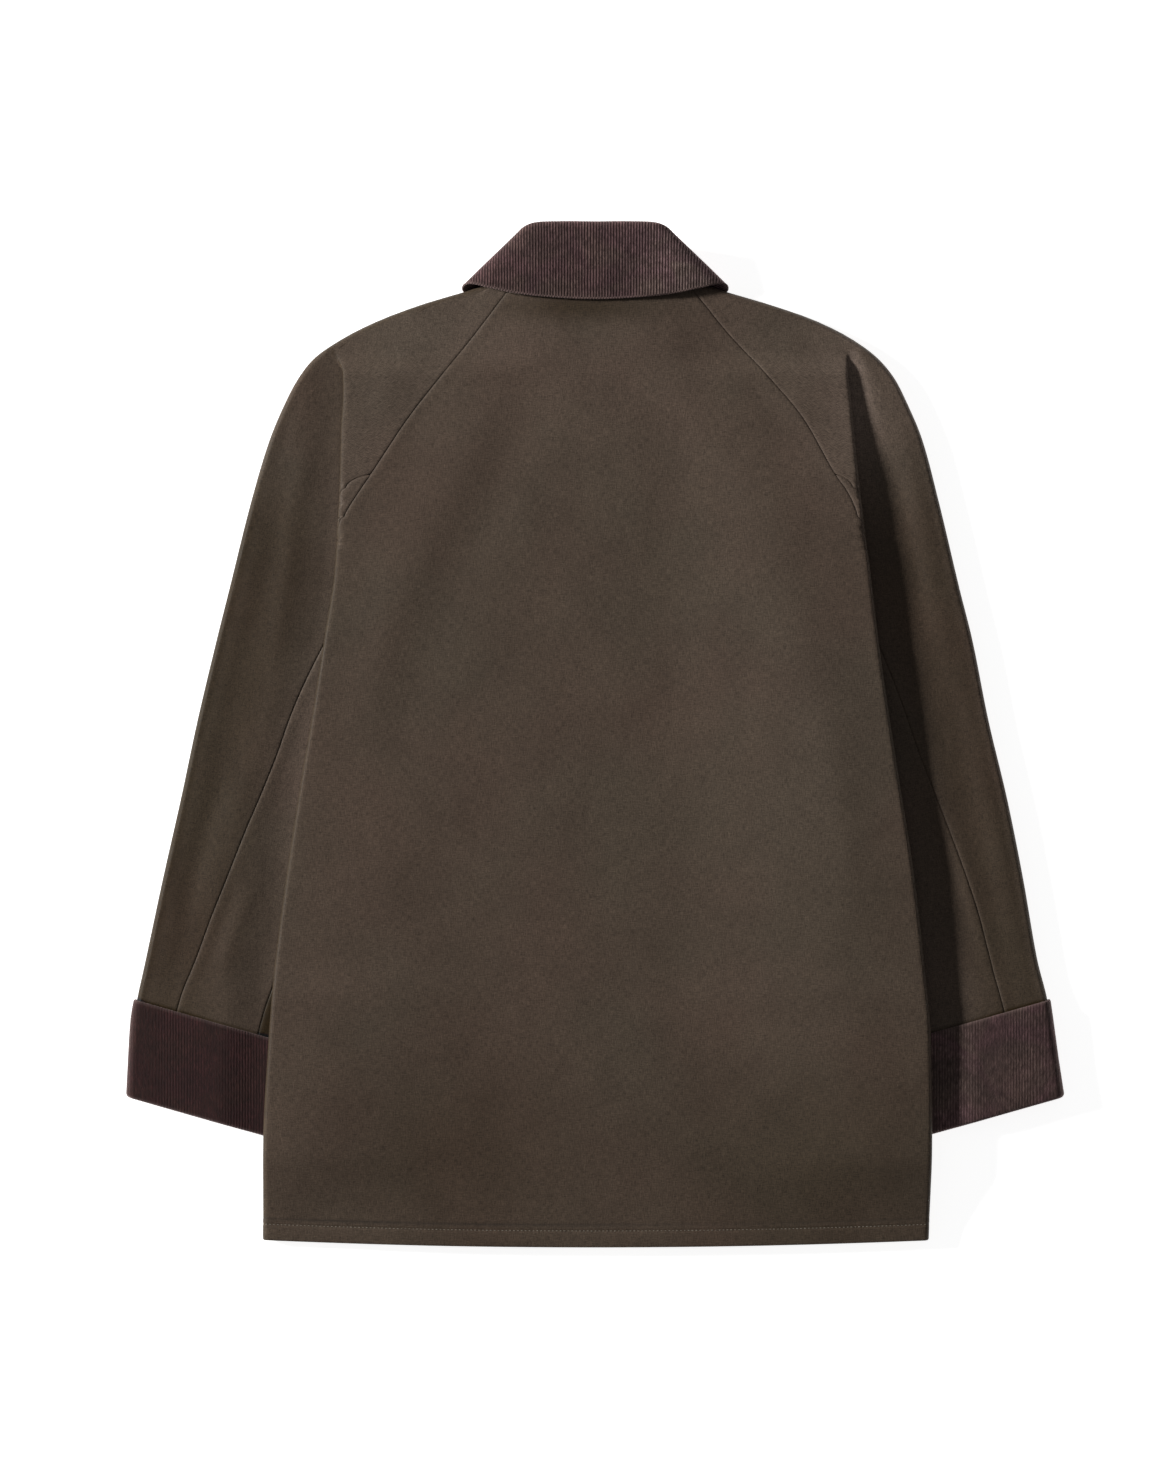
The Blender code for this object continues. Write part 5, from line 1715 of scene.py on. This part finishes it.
    def back(self) -> Object:
        """One panel from side seam to side seam, with its edges turned under.

        Returns:
            The back.
        """
        halves: dict[Side, Sheet] = {}
        levels = [*self.upper_levels(BACK_NECK_LEVEL), *self.body_levels()]
        ends = Edge.CENTRE, Edge.LAPPED
        for side in Side:
            sheet = halves[side] = Sheet()
            slices = [Slice(side, level) for level in levels]
            factors = evened([here.slant(Slice.back_seam, Slice.section) for here in slices])
            for here, factor in zip(slices, factors):
                path = here.section().part(CENTRE_BACK, here.back_seam())
                sheet.add(path, here.level, self.back_columns, ends, (1.0, factor), (ROUND_THE_OUTSIDE,))
        whole, across = Sheet(levels=levels), []
        for left, right in zip(halves[Side.LEFT].rows(), halves[Side.RIGHT].rows()):
            whole.points.append(np.vstack([left.points[:0:-1] * (-1, 1, 1), right.points]))
            whole.places.append(np.concatenate([left.places[:0:-1], right.places]))
            whole.first.append(np.concatenate([left.last[:0:-1], right.last + FAR]))
            whole.last.append(np.concatenate([left.last[:0:-1] + FAR, right.last]))
            across.append(np.concatenate([-left.first[:0:-1], right.first]))
        uv = np.stack([np.array(across), whole.grid()[..., 1]], -1)
        return self.dress("back_panel", Side.RIGHT, whole, (Edge.LAPPED, Edge.LAPPED), uv, self.back_painted_seam_shade,
                          hem=True, wide=True)

    def front(self, side: Side) -> Object:
        """A front from its raglan seam and side seam to just past the centre.

        Args:
            side: left or right.

        Returns:
            The front.
        """
        sheet, ends = Sheet(), (Edge.SEAM, Edge.PLAIN)
        neck = [345.6, 342, 338, 334, *stepped(330, 296, 3.4), 294.5, 292.6, 291.4]
        for level in [*neck, *[v for v in self.upper_levels(291) if v < 290], *self.body_levels()]:
            here, first, last, factor = Slice(side, level), FRONT_SEAM, CENTRE_FRONT, 1.0
            if level > UNDERARM_LEVEL:
                factor, start = here.steepness(FRONT_RAGLAN, 1), here.read(FRONT_RAGLAN)
                last = FRONT_SEAM + (start - here.neck_end()) / (start + FRONT_OVERLAP)
            elif here.back_seam() < FOLD - 0.001:
                first, factor = here.back_seam(), here.slant(Slice.back_seam, Slice.section)
            sheet.add(here.section().part(first, last), level, self.front_columns, ends, (factor, 1.0))
        uv = np.stack([np.array(sheet.last), sheet.grid()[..., 1]], -1)
        return self.dress(f"front_{side.word}_panel", side, sheet, ends, uv, self.front_groove, hem=True)

    def sleeve(self, name: str, side: Side, sheet: Sheet, ends: tuple[Edge, Edge]) -> Object:
        """Makes a sleeve's panel an object, with its grain running down the arm.

        Args:
            name: the piece's name.
            side: left or right.
            sheet: its grid.
            ends: how its two edges are made.

        Returns:
            The panel.
        """
        rows = []
        for points, place in zip(sheet.points, sheet.places):
            run = run_of(points)
            kept = OUTER if place[-1] > OUTER else place[0]
            rows.append(run - np.interp(kept, place, run) + np.interp(kept, place, points[:, 0]))
        u, v = np.array(rows), sheet.grid()[..., 1]
        cosine, sine = math.cos(self.grain_lean), math.sin(self.grain_lean)
        uv = np.stack([u * cosine + v * sine, v * cosine - u * sine], -1)
        return self.dress(name, side, sheet, ends, uv, self.sleeve_painted_seam_shade)

    def top_sleeve(self, side: Side) -> Object:
        """The top sleeve: from the neck over the shoulder, then most of the way round the sleeve.

        Args:
            side: left or right.

        Returns:
            The panel.
        """
        rows = []
        for level in self.upper_levels(NECK_LEVEL):
            here = Slice(side, level)
            if level > BACK_NECK_LEVEL:
                seam = float(BACK_SEAM(side, BACK_NECK_LEVEL))
                share = (level - BACK_NECK_LEVEL) / (NECK_LEVEL - BACK_NECK_LEVEL)
                first, factor = here.place_on_back(seam + (SHOULDER_NECK_POINT - seam) * share), 1.0
            else:
                first, factor = here.sleeve_seam(), here.slant(Slice.sleeve_seam, Slice.upper)
            path = here.upper().part(first, FRONT_SEAM)
            rows.append((level, path, factor, here.steepness(FRONT_RAGLAN, 1)))
        for level in self.sleeve_levels():
            here = Slice(side, level)
            ring = here.ring()
            round_again = Path.joined(ring, Path(ring.place[1:] + 2, ring.points[1:]))
            path = round_again.part(here.sleeve_seam(), here.inner_seam() + 2)
            factors = (here.slant(seam, Slice.ring) for seam in (Slice.sleeve_seam, Slice.inner_seam))
            rows.append((level, path, *factors))
        sheet, ends = Sheet(), (Edge.SEAM, Edge.SEAM)
        levels, paths, *slants = zip(*rows)
        for level, path, *factors in zip(levels, paths, *(evened(values) for values in slants)):
            sheet.add(path, level, self.sleeve_columns, ends, factors, ((1.12, 2.06), (3.16, 9.0)))
        return self.sleeve(f"sleeve_{side.word}_top_panel", side, sheet, ends)

    def under_sleeve(self, side: Side) -> Object:
        """The under sleeve: a wedge from the fork of the seams, widening under the body, to the cuff.

        Args:
            side: left or right.

        Returns:
            The panel.
        """
        sheet, ends = Sheet(), (Edge.SEAM, Edge.LAPPED)
        upper = [v for v in self.upper_levels(212) if v < FORK_LEVEL - 0.8]
        parts = (upper, Slice.back_seam, Slice.upper), (self.sleeve_levels(), Slice.inner_seam, Slice.ring)
        for levels, seam, path in parts:
            for level in levels:
                here = Slice(side, level)
                factors = [here.slant(edge, path) for edge in (seam, Slice.sleeve_seam)]
                part = path(here).part(seam(here), here.sleeve_seam())
                sheet.add(part, level, self.under_sleeve_columns, ends, factors)
        return self.sleeve(f"sleeve_{side.word}_under_panel", side, sheet, ends)

    def hem_stitches(self, rule: NodeRule) -> dict[str, Object]:
        """The row of stitches that holds the hem, on the back and on each front.

        Args:
            rule: lays the stitches.

        Returns:
            The rows by the panel that they are on.
        """
        level, away = HEM_LEVEL + self.stitch_line, self.thickness / 2 - 0.18
        lines = {}
        for side in Side:
            path, seam = Slice(side, level).body(), Slice(side, level).back_seam()
            stretches = {"back": (CENTRE_BACK, seam - 0.02), "front": (seam + 0.02, CENTRE_FRONT - 0.01)}
            for key, ends in stretches.items():
                points = path.part(*ends).spread(self.stitch_points, np.array([0.0]), np.array([1.0]))[0]
                points = points + outward(points[None])[0] * away
                points[:, 2] = np.maximum(points[:, 2], 0.28)
                lines[key, side] = points * (side.value, 1, 1)
        back = np.vstack([lines["back", Side.LEFT][:0:-1], lines["back", Side.RIGHT]])
        rows = {"back": back, **{f"front_{side.word}": lines["front", side] for side in Side}}
        made = {key: line_object(f"hem_stitches_{key}", [points]) for key, points in rows.items()}
        for obj in made.values():
            rule.apply(obj)
        return made


# ------------------------------ cuffs
@dataclass
class Cuffs:
    """Turned-back corduroy cuffs."""

    finishes: Finishes
    top_level: float = CUFF_LEVEL
    bottom_level: float = -290.0
    inside: float = 12.0
    standoff: float = 2.35
    thickness: float = 1.7
    pitch: float = 2.4
    wale_height: float = 0.12
    flattened: float = 0.66
    columns_a_wale: int = 6
    row_step: float = 7.5
    middle: float = 338.0
    before: float = 120.0
    after: float = 174.0
    straight: tuple[float, float] = (-86.0, 12.0)
    left_painted_shade: float = -0.6
    right_painted_light_in_shadow: float = 0.65
    edge_worn: float = 0.22
    roll_worn: float = 0.1
    cut: Cut = Cut(0.34, 0.1, 0.0325)

    def around(self, side: Side, level: float, grow: float, columns: Array) -> Array:
        """A row round the cuff whose columns run straight down it where they show.

        Args:
            side: left or right.
            level: the row's level at the outer edge.
            grow: how far it stands off the sleeve.
            columns: how far each column is from the middle of the cuff.

        Returns:
            The row's points.
        """
        ring = Slice(side, level).ring(round(grow, 4))
        run = run_of(ring.points)
        top = (ring.place > FOLD + TURN) & (ring.place < OUTER - TURN)
        here = float(np.interp(self.middle, ring.points[top, 0], run[top]))
        first, last = self.straight
        marks = [-self.before, first, last, self.after]
        even = np.interp(columns, marks, [0.0, here + first, here + last, run[-1]])
        return read(even, run, ring.points)

    def build(self, side: Side, rule: NodeRule) -> Object:
        """One cuff: up the outside of the sleeve, with its lower edge rolled in.

        Args:
            side: left or right.
            rule: raises the wales.

        Returns:
            The cuff.
        """
        out, bottom, top = self.standoff, self.bottom_level, self.top_level
        rows = [(top, out - 0.5), (top - 1.2, out), (top - 2.6, out)]
        rows += [(level, out) for level in [*stepped(top, bottom + out, self.row_step)[1:], bottom + out]]
        for angle in between(9) * math.pi:
            rows.append((bottom + out * (1 - math.sin(angle)), out * math.cos(angle)))
        rows += [(bottom + out, -out), (bottom + self.inside, -out)]
        columns = np.arange(-self.before, self.after, self.pitch / self.columns_a_wale)
        points = np.array([self.around(side, level, grow, columns) for level, grow in rows])
        wave = 0.5 * ripple(points[..., 0], points[..., 1], 38, 2.2)
        wave = wave * soft_step(bottom - 6, bottom + 14, points[..., 1])
        points[..., 2] += np.where(points[..., 2] > 8, wave, 0)
        raised, worn = np.ones(points.shape[:2]), np.zeros(points.shape[:2])
        raised[0] = 0.5
        raised[points[..., 2] < 1.6] *= 0.4  # pressed by the jacket's weight
        worn[:2] = self.edge_worn
        worn[-9:-4] = self.roll_worn
        # painted shade over the whole left cuff; on the right cuff, painted light that lifts the body's cast
        # shadow near the body
        if side is Side.LEFT:
            painted_shade = np.full(worn.shape, self.left_painted_shade)
        else:
            painted_shade = self.right_painted_light_in_shadow * soft_step(308, 282, points[..., 0])
        marks = {"worn": worn, "wale": np.broadcast_to(columns * MM, worn.shape), "raised": raised,
                 "flattened": np.full(worn.shape, self.flattened), "painted_shade": painted_shade}
        points[..., 0] *= side.value
        points[..., 2] = np.maximum(points[..., 2], self.thickness / 2 + 0.02)
        uv = paired(columns[None, :], -run_of(points[:, 0])[:, None])
        obj = make_object(f"cuff_{side.word}_band", points, marks, uv, self.finishes.corduroy,
                          flip=side is Side.LEFT, closed=True)
        rule.apply(obj)
        thicken(obj, self.thickness, -0.2)
        return obj


# ------------------------------ collar
@dataclass(frozen=True)
class CollarRow:
    """One place along the collar, from centre back to centre front."""

    roll: tuple[float, float, float]
    edge: tuple[float, float, float]
    seam: tuple[float, float, float]
    bulge: float
    inward: float


@dataclass(frozen=True, eq=False)
class CollarFrame:
    """The collar's lines from left front to right front, with its ways up the leaf and inwards."""

    edge: Array
    roll: Array
    seam: Array
    bulge: Array
    up: Array
    inward: Array

    def inside(self, radius: float) -> tuple[Array, Array]:
        """The inner side of a roll of this radius, and the way down from it to the neck seam."""
        inside = self.roll - self.up * radius + self.inward * 2 * radius
        return inside, unit(self.seam - inside)


@dataclass
class Collar:
    """A corduroy collar turned down over its stand, its points folded round to the front."""

    finishes: Finishes
    roll_radius: float = 2.6
    roll_length: float = 6.0
    seam_gap: float = 1.3
    thickness: float = 1.6
    pitch: float = 2.3
    columns_a_wale: int = 6
    wale_height: float = 0.2
    fine_reach: float = 112.0
    piping: float = 0.95
    stand_length: float = 24.0
    stand_tuck: float = 2.6
    painted_light_right: float = 1.1
    painted_shade_left: float = 0.14
    leaf_cut: Cut = Cut(0.5, 0.1, 0.031)
    stand_cut: Cut = Cut(0.3, 0.04, 0.0088)
    rows: tuple[CollarRow, ...] = (
        CollarRow((0, 406.9, 38), (0, 348.4, 19.6), (0, 360.5, 17.4), 1.6, 0),
        CollarRow((27, 407.2, 38), (53, 351.6, 20), (33, 360.5, 17.4), 1.6, 0),
        CollarRow((47.5, 406.9, 37.4), (84, 357.4, 19.8), (57, 360.8, 17), 1.2, 14),
        CollarRow((55.8, 404.8, 34), (97, 360.6, 18), (66.2, 364.4, 15.4), 0.9, 45),
        CollarRow((58.4, 401.4, 27.5), (103.6, 360, 14), (72.2, 366.9, 11.8), 0.7, 72),
        CollarRow((58.6, 398.54, 17), (105.8, 356.4, 8), (73.6, 367.4, 7.8), 0.5, 96),
        CollarRow((56.8, 393.04, 4.6), (102, 349.4, 1), (72.5, 362.5, 4.9), 0, 150),
        CollarRow((50.5, 382.04, 1.6), (98, 326, 1), (66.5, 351, 4.1), 0, 178),
        CollarRow((40.5, 360.04, 1.2), (91, 296, 1), (57, 336, 4), 0, 180),
        CollarRow((28, 338.04, 1.2), (79, 268, 1), (44.5, 319.5, 4), 0, 180),
        CollarRow((15, 321.04, 1.2), (66, 250, 1), (30, 305, 4), 0, 180),
        CollarRow((7, 313.04, 1.2), (38, 266, 1), (16, 298.5, 4.1), 0, 180),
    )

    def frame(self) -> CollarFrame:
        """Dense lines along the whole collar.

        Returns:
            The lines and directions.
        """
        table = np.array([[*r.roll, *r.edge, *r.seam, r.bulge, r.inward] for r in self.rows], float)
        mirror = table[:0:-1] * np.array([-1, 1, 1, -1, 1, 1, -1, 1, 1, 1, -1])
        dense = smooth_line(np.vstack([mirror, table]), 24)
        roll, edge, seam = dense[:, 0:3], dense[:, 3:6], dense[:, 6:9]
        angle = np.radians(dense[:, 10])
        up = unit(roll - edge)
        inward = np.stack([-np.sin(angle), np.zeros(len(angle)), -np.cos(angle)], -1)
        inward = unit(inward - up * (inward * up).sum(1)[:, None])
        return CollarFrame(edge, roll, seam, dense[:, 9], up, inward)

    def leaf_lines(self) -> list[Array]:
        """Lines along the leaf, from its outer edge up, round the roll and a little way down inside.

        Returns:
            The lines, each from left front to right front.
        """
        frame, radius = self.frame(), self.roll_radius
        up, inward = frame.up, frame.inward
        centre = frame.roll - up * radius + inward * radius
        rise = centre - inward * radius - frame.edge
        lines = []
        for share in (0, 0.012, 0.03, 0.06, *np.linspace(0.1, 0.97, 16)):
            swell = frame.bulge * math.sin(math.pi * share)
            lines.append(frame.edge + rise * share - inward * swell[:, None])
        for angle in np.linspace(-math.pi / 2, math.pi / 2, 11):
            lines.append(centre + (up * math.cos(angle) + inward * math.sin(angle)) * radius)
        inside, down = frame.inside(radius)
        lines += [inside + down * length for length in (0.5 * self.roll_length, self.roll_length)]
        for line in lines:
            line[:, 2] = np.maximum(line[:, 2], self.thickness / 2 + 0.3)
        return lines

    def leaf(self, rule: NodeRule) -> Object:
        """The leaf, with its wales parallel to the centre back.

        Args:
            rule: raises the wales.

        Returns:
            The leaf.
        """
        lines, fine = self.leaf_lines(), self.fine_reach
        runs = [run_of(line) - run_of(line)[len(line) // 2] for line in lines]
        reach = min(runs[0][-1], -runs[0][0])
        inner = np.arange(-fine, fine + 0.01, self.pitch / self.columns_a_wale)
        tail = np.linspace(fine, reach, 70)[1:]
        columns = np.concatenate([-tail[::-1], inner, tail])
        within = np.minimum(np.abs(columns), fine)
        beyond = np.maximum(np.abs(columns) - fine, 0) / (reach - fine)
        flat = [np.sign(columns) * (within + beyond * (min(run[-1], -run[0]) - fine)) for run in runs]
        points, across = np.array([read(*row) for row in zip(flat, runs, lines)]), np.array(flat)
        wave = 0.7 * ripple(points[..., 0], points[..., 1], 30, 6.3)
        points[..., 2] += wave * soft_step(12, 18, points[..., 2])
        uv = paired(across, run_of(points[:, len(columns) // 2])[:, None])
        raised = np.broadcast_to(soft_step(fine, fine - 6, np.abs(columns)), across.shape).copy()
        raised[:3] *= np.array([0.0, 0.3, 0.7])[:, None]
        raised *= soft_step(1.8, 3.5, points[..., 2])
        worn = np.zeros(across.shape)
        # paler along the leaf's folded lower edge and over its roll
        worn[:3] = np.array([0.55, 0.4, 0.15])[:, None]
        worn[20:31] = 0.12
        # painted light on the leaf's right end, which slopes away from the light, and painted shade on its
        # left end
        brushed = self.painted_light_right * soft_step(10, 88, points[..., 0])
        brushed = brushed - self.painted_shade_left * soft_step(-30, -90, points[..., 0])
        marks = {"worn": worn, "wale": across * MM, "raised": raised, "painted_shade": brushed}
        obj = make_object("collar_leaf_cloth", points, marks, uv, self.finishes.corduroy, flip=True)
        rule.apply(obj)
        thicken(obj, self.thickness, -0.2)
        return obj

    def edge_roll(self) -> Object:
        """The leaf's outer edge, where the corduroy turns under: a thin round fold.

        Returns:
            The fold.
        """
        line = self.leaf_lines()[0][::2]
        ahead = unit(np.gradient(line, axis=0))
        side = unit(np.cross(ahead, (0.0, 0.0, 1.0)))
        upper = np.cross(side, ahead)
        angle = np.linspace(0, 2 * math.pi, 12, endpoint=False)
        cosine, sine = np.cos(angle)[None, :, None], np.sin(angle)[None, :, None]
        points = line[:, None] + (cosine * side[:, None] + sine * upper[:, None]) * self.piping
        points[..., 2] = np.maximum(points[..., 2], 0.05)
        uv = paired(run_of(line)[:, None], (angle * self.piping)[None, :])
        # painted paler all round the fold
        marks = {"worn": np.full(points.shape[:2], 0.5)}
        return make_object("collar_leaf_edge", points, marks, uv, self.finishes.corduroy, closed=True)

    def stand(self) -> Object:
        """The stand, from just below the leaf's inner end down behind the back's neck edge.

        Returns:
            The stand.
        """
        frame = self.frame()
        inside, down = frame.inside(self.roll_radius)
        start = inside + down * (self.roll_length + self.seam_gap)
        tuck = self.stand_tuck * soft_step(12, 15, frame.seam[:, 2])
        end = frame.seam - np.stack([0 * tuck, 0 * tuck, tuck], -1)
        shares = np.linspace(0, 1, 9)
        points = np.array([start + (end - start) * share for share in shares])
        uv = paired(run_of(points[-1])[None, :], (self.stand_length * shares)[:, None])
        obj = make_object("collar_stand_cloth", points, {}, uv, self.finishes.corduroy)
        thicken(obj, self.thickness)
        return obj


# ------------------------------ buttons
@dataclass
class Buttons:
    """Five sewn-through buttons, lying face down under the placket."""

    finishes: Finishes
    radius: float = 9.0
    thickness: float = 3.0
    rim: float = 1.7
    dish: float = 0.8
    hole_radius: float = 0.95
    hole_spread: float = 1.75
    drill_length: float = 10.0
    thread_radius: float = 0.3
    sides: int = 48

    def disc(self) -> Mesh:
        """The button's own mesh: a dished disc with a rounded rim and four holes.

        Returns:
            The mesh, with its centre at the origin.
        """
        inner, outer, tall = self.radius - self.rim, self.radius, self.thickness
        profile = [(0, self.dish), (inner - 1.6, self.dish), (inner - 0.7, self.dish * 0.8), (inner, 0.25),
                   (inner + 0.5, 0.05), (outer - 0.6, 0.05), (outer - 0.12, 0.3), (outer, 0.9),
                   (outer, tall - 0.8), (outer - 0.5, tall - 0.15), (outer - 1.2, tall), (0, tall)]
        angle = np.linspace(0, 2 * math.pi, self.sides, endpoint=False)
        radii, heights = np.array(profile).T[:, :, None]
        points = paired(radii * np.cos(angle), radii * np.sin(angle), heights)
        body = make_object("button_blank", points, {}, points[..., :2], self.finishes.resin, closed=True)
        weld = body.modifiers.new("Weld", "WELD")
        weld.merge_threshold = 0.02 * MM
        drills = []
        for x, y in ((1, 1), (1, -1), (-1, 1), (-1, -1)):
            centre = (x * self.hole_spread * MM, y * self.hole_spread * MM, 0)
            bpy.ops.mesh.primitive_cylinder_add(vertices=20, radius=self.hole_radius * MM,
                                                depth=self.drill_length * MM, location=centre)
            drills.append(bpy.context.object)
            cut = body.modifiers.new("Hole", "BOOLEAN")
            cut.operation, cut.solver, cut.object = "DIFFERENCE", "EXACT", drills[-1]
        mesh = evaluated(body)
        for spare in (*drills, body):
            bpy.data.objects.remove(spare, do_unlink=True)
        mesh.set_sharp_from_angle(angle=math.radians(40))
        return mesh

    def thread(self, name: str, level: float) -> Object:
        """Four bars of thread from hole to hole, two by two.

        Args:
            name: the piece's name.
            level: the button's level.

        Returns:
            The bars as one object.
        """
        t, angle = np.linspace(0, 1, 13)[:, None], np.linspace(0, 2 * math.pi, 9)
        y = level + self.hole_spread * np.cos(math.pi * t)
        z = self.dish - 0.42 * np.sin(math.pi * t) ** 0.6 + 1.6 * np.abs(np.cos(math.pi * t)) ** 6
        centres = [x + shift for x in (-self.hole_spread, self.hole_spread) for shift in (-0.3, 0.3)]
        bars = []
        for number, x in enumerate(centres):
            ring_x, ring_z = x + self.thread_radius * np.cos(angle), z + self.thread_radius * np.sin(angle)
            points, uv = paired(ring_x, y, ring_z), paired(angle, 3 * t)
            bars.append(make_object(f"{name}_{number}", points, {}, uv, self.finishes.thread))
        with bpy.context.temp_override(active_object=bars[0], selected_editable_objects=bars):
            bpy.ops.object.join()
        bars[0].name = name
        return bars[0]

    def build(self) -> list[tuple[Object, Object]]:
        """All the buttons with their threads.

        Returns:
            A button and its thread for each level.
        """
        disc = self.disc()
        made = []
        for number, level in enumerate(BUTTON_LEVELS, start=1):
            mesh = disc.copy()
            mesh.transform(Matrix.Translation((0, level * MM, 0)))
            button = placed(f"button_{number}_disc", mesh)
            made.append((button, self.thread(f"button_{number}_thread", level)))
        return made


@dataclass
class Buttonholes:
    """Worked buttonholes across the left front, under the buttons."""

    finishes: Finishes
    length: float = 23.0
    width: float = 2.6
    centre: float = 4.0
    height: float = FLOOR + PLACKET_RISE - 0.72

    def build(self, rule: NodeRule) -> Object:
        """The stitches round every hole, just inside the left front's outer face.

        Args:
            rule: lays the stitches.

        Returns:
            All the buttonholes as one object.
        """
        angle = np.linspace(0, 2 * math.pi, 60)
        straight = (self.length - self.width) / 2
        x = self.centre + np.clip(np.cos(angle) * 40, -straight, straight) + np.cos(angle) * self.width / 2
        loops = [paired(x, level + np.sin(angle) * self.width / 2, self.height) for level in BUTTON_LEVELS]
        obj = line_object("buttonhole_stitches", loops)
        rule.apply(obj)
        return obj


# ------------------------------ studio
@dataclass(frozen=True)
class Lamp:
    """A square soft light: its watts, side and distance in metres, the way to it in degrees, its tint."""

    name: str
    energy: float
    size: float
    distance: float
    azimuth: float
    elevation: float
    colour: Colour

    def place(self) -> None:
        """Puts the light in the scene, facing the jacket from its direction."""
        data = bpy.data.lights.new(self.name, "AREA")
        data.energy, data.size, data.color = self.energy, self.size, self.colour
        lamp = placed(self.name, data)
        turn, lift = math.radians(self.azimuth), math.radians(self.elevation)
        way = Vector((math.cos(turn) * math.cos(lift), math.sin(turn) * math.cos(lift), math.sin(lift)))
        lamp.location = way * self.distance
        lamp.rotation_euler = way.to_track_quat("Z", "Y").to_euler()


@dataclass
class Studio:
    """A pale floor, a low soft light from the left, fill all round and a camera straight above."""

    view_height: float = 1.1736
    centre: tuple[float, float] = (-0.0066, 0.0006)
    lens: float = 150.0
    sensor: float = 36.0
    far: float = 50.0
    focus_height: float = 0.012
    world: float = 0.125
    floor_reach: float = 30.0
    floor_height: float = -0.0004
    floor_tones: tuple[Colour, Colour] = ((0.86, 0.86, 0.86), (0.88, 0.88, 0.88))
    lamps: tuple[Lamp, ...] = (
        Lamp("key_light", 800.0, 1.1, 7.0, 164, 22.5, (1.0, 0.985, 0.96)),
        Lamp("fill_light", 1.0, 2.2, 3.0, 20, 62, (0.97, 0.985, 1.0)),
        Lamp("top_light", 1.3, 2.4, 3.2, 100, 74, (1.0, 1.0, 1.0)),
    )

    def build(self) -> None:
        """Makes the camera, the lights, the air's even light and the floor."""
        scene = bpy.context.scene
        scene.view_settings.view_transform = "Standard"
        camera = placed("camera", bpy.data.cameras.new("camera"))
        camera.data.lens, camera.data.sensor_width, camera.data.clip_end = self.lens, self.sensor, self.far
        camera.location = (*self.centre, self.view_height * self.lens / self.sensor + self.focus_height)
        scene.camera = camera
        for lamp in self.lamps:
            lamp.place()
        scene.world = bpy.data.worlds.new("studio_air")
        scene.world.use_nodes = True
        backdrop = scene.world.node_tree.nodes["Background"].inputs
        backdrop["Color"].default_value = WHITE
        backdrop["Strength"].default_value = self.world
        self.floor()

    def floor(self) -> None:
        """A plain pale surface that the jacket lies on."""
        board, reach = Board("studio_floor"), self.floor_reach
        corners = [(x * reach, y * reach, self.floor_height) for x, y in ((-1, -1), (1, -1), (1, 1), (-1, 1))]
        mesh = bpy.data.meshes.new("floor")
        mesh.from_pydata(corners, [], [(0, 1, 2, 3)])
        colour = board.mix(board.noise(board.place, scale=3.0), *self.floor_tones)
        mesh.materials.append(board.finish({"Base Color": colour, "Roughness": 0.9, "Specular IOR Level": 0.1,
                                            "Emission Color": WHITE, "Emission Strength": 0.85}))
        placed("floor", mesh)


def main() -> None:
    """Builds the jacket piece by piece, then the studio."""
    logging.basicConfig(level=logging.INFO, format="%(name)s %(message)s", force=True)
    finishes = Finishes(*(finish().material() for finish in (WaxedCotton, Corduroy, Thread, HornResin)))
    panels, cuffs, collar = CottonPanels(finishes), Cuffs(finishes), Collar(finishes)
    hem_rule = stitch_rule(finishes.thread, 0.0031, 0.0018, 0.00065)
    hole_rule = stitch_rule(finishes.thread, 0.0007, 0.0012, 0.0006)
    cuff_wales, collar_wales = (rib_rule(finishes.corduroy, part.pitch * MM, part.wale_height * MM)
                                for part in (cuffs, collar))
    stitches = panels.hem_stitches(hem_rule)
    holes = Buttonholes(finishes).build(hole_rule)
    for trim in (*stitches.values(), holes):
        declare(trim, ())

    back = panels.back()
    declare(back, ["back"])
    for side in Side:
        word = side.word
        front = panels.front(side)
        nodes = [f"front_{word}_{part}" for part in ("chest", "waist", "hem")]
        declare(front, nodes)
        top = panels.top_sleeve(side)
        declare(top, [f"sleeve_{word}_top"])
        under = panels.under_sleeve(side)
        declare(under, [f"sleeve_{word}_under"])
        cuff = cuffs.build(side, cuff_wales)
        declare(cuff, [f"cuff_{word}"])
    leaf, edge, stand = collar.leaf(collar_wales), collar.edge_roll(), collar.stand()
    declare(edge, ())
    declare(leaf, ["collar_leaf"])
    declare(stand, ["collar_stand"])
    for number, (button, thread) in enumerate(Buttons(finishes).build(), start=1):
        declare(button, [f"button_{number}"])
        declare(thread, ())
    Studio().build()


if __name__ == "__main__":
    main()
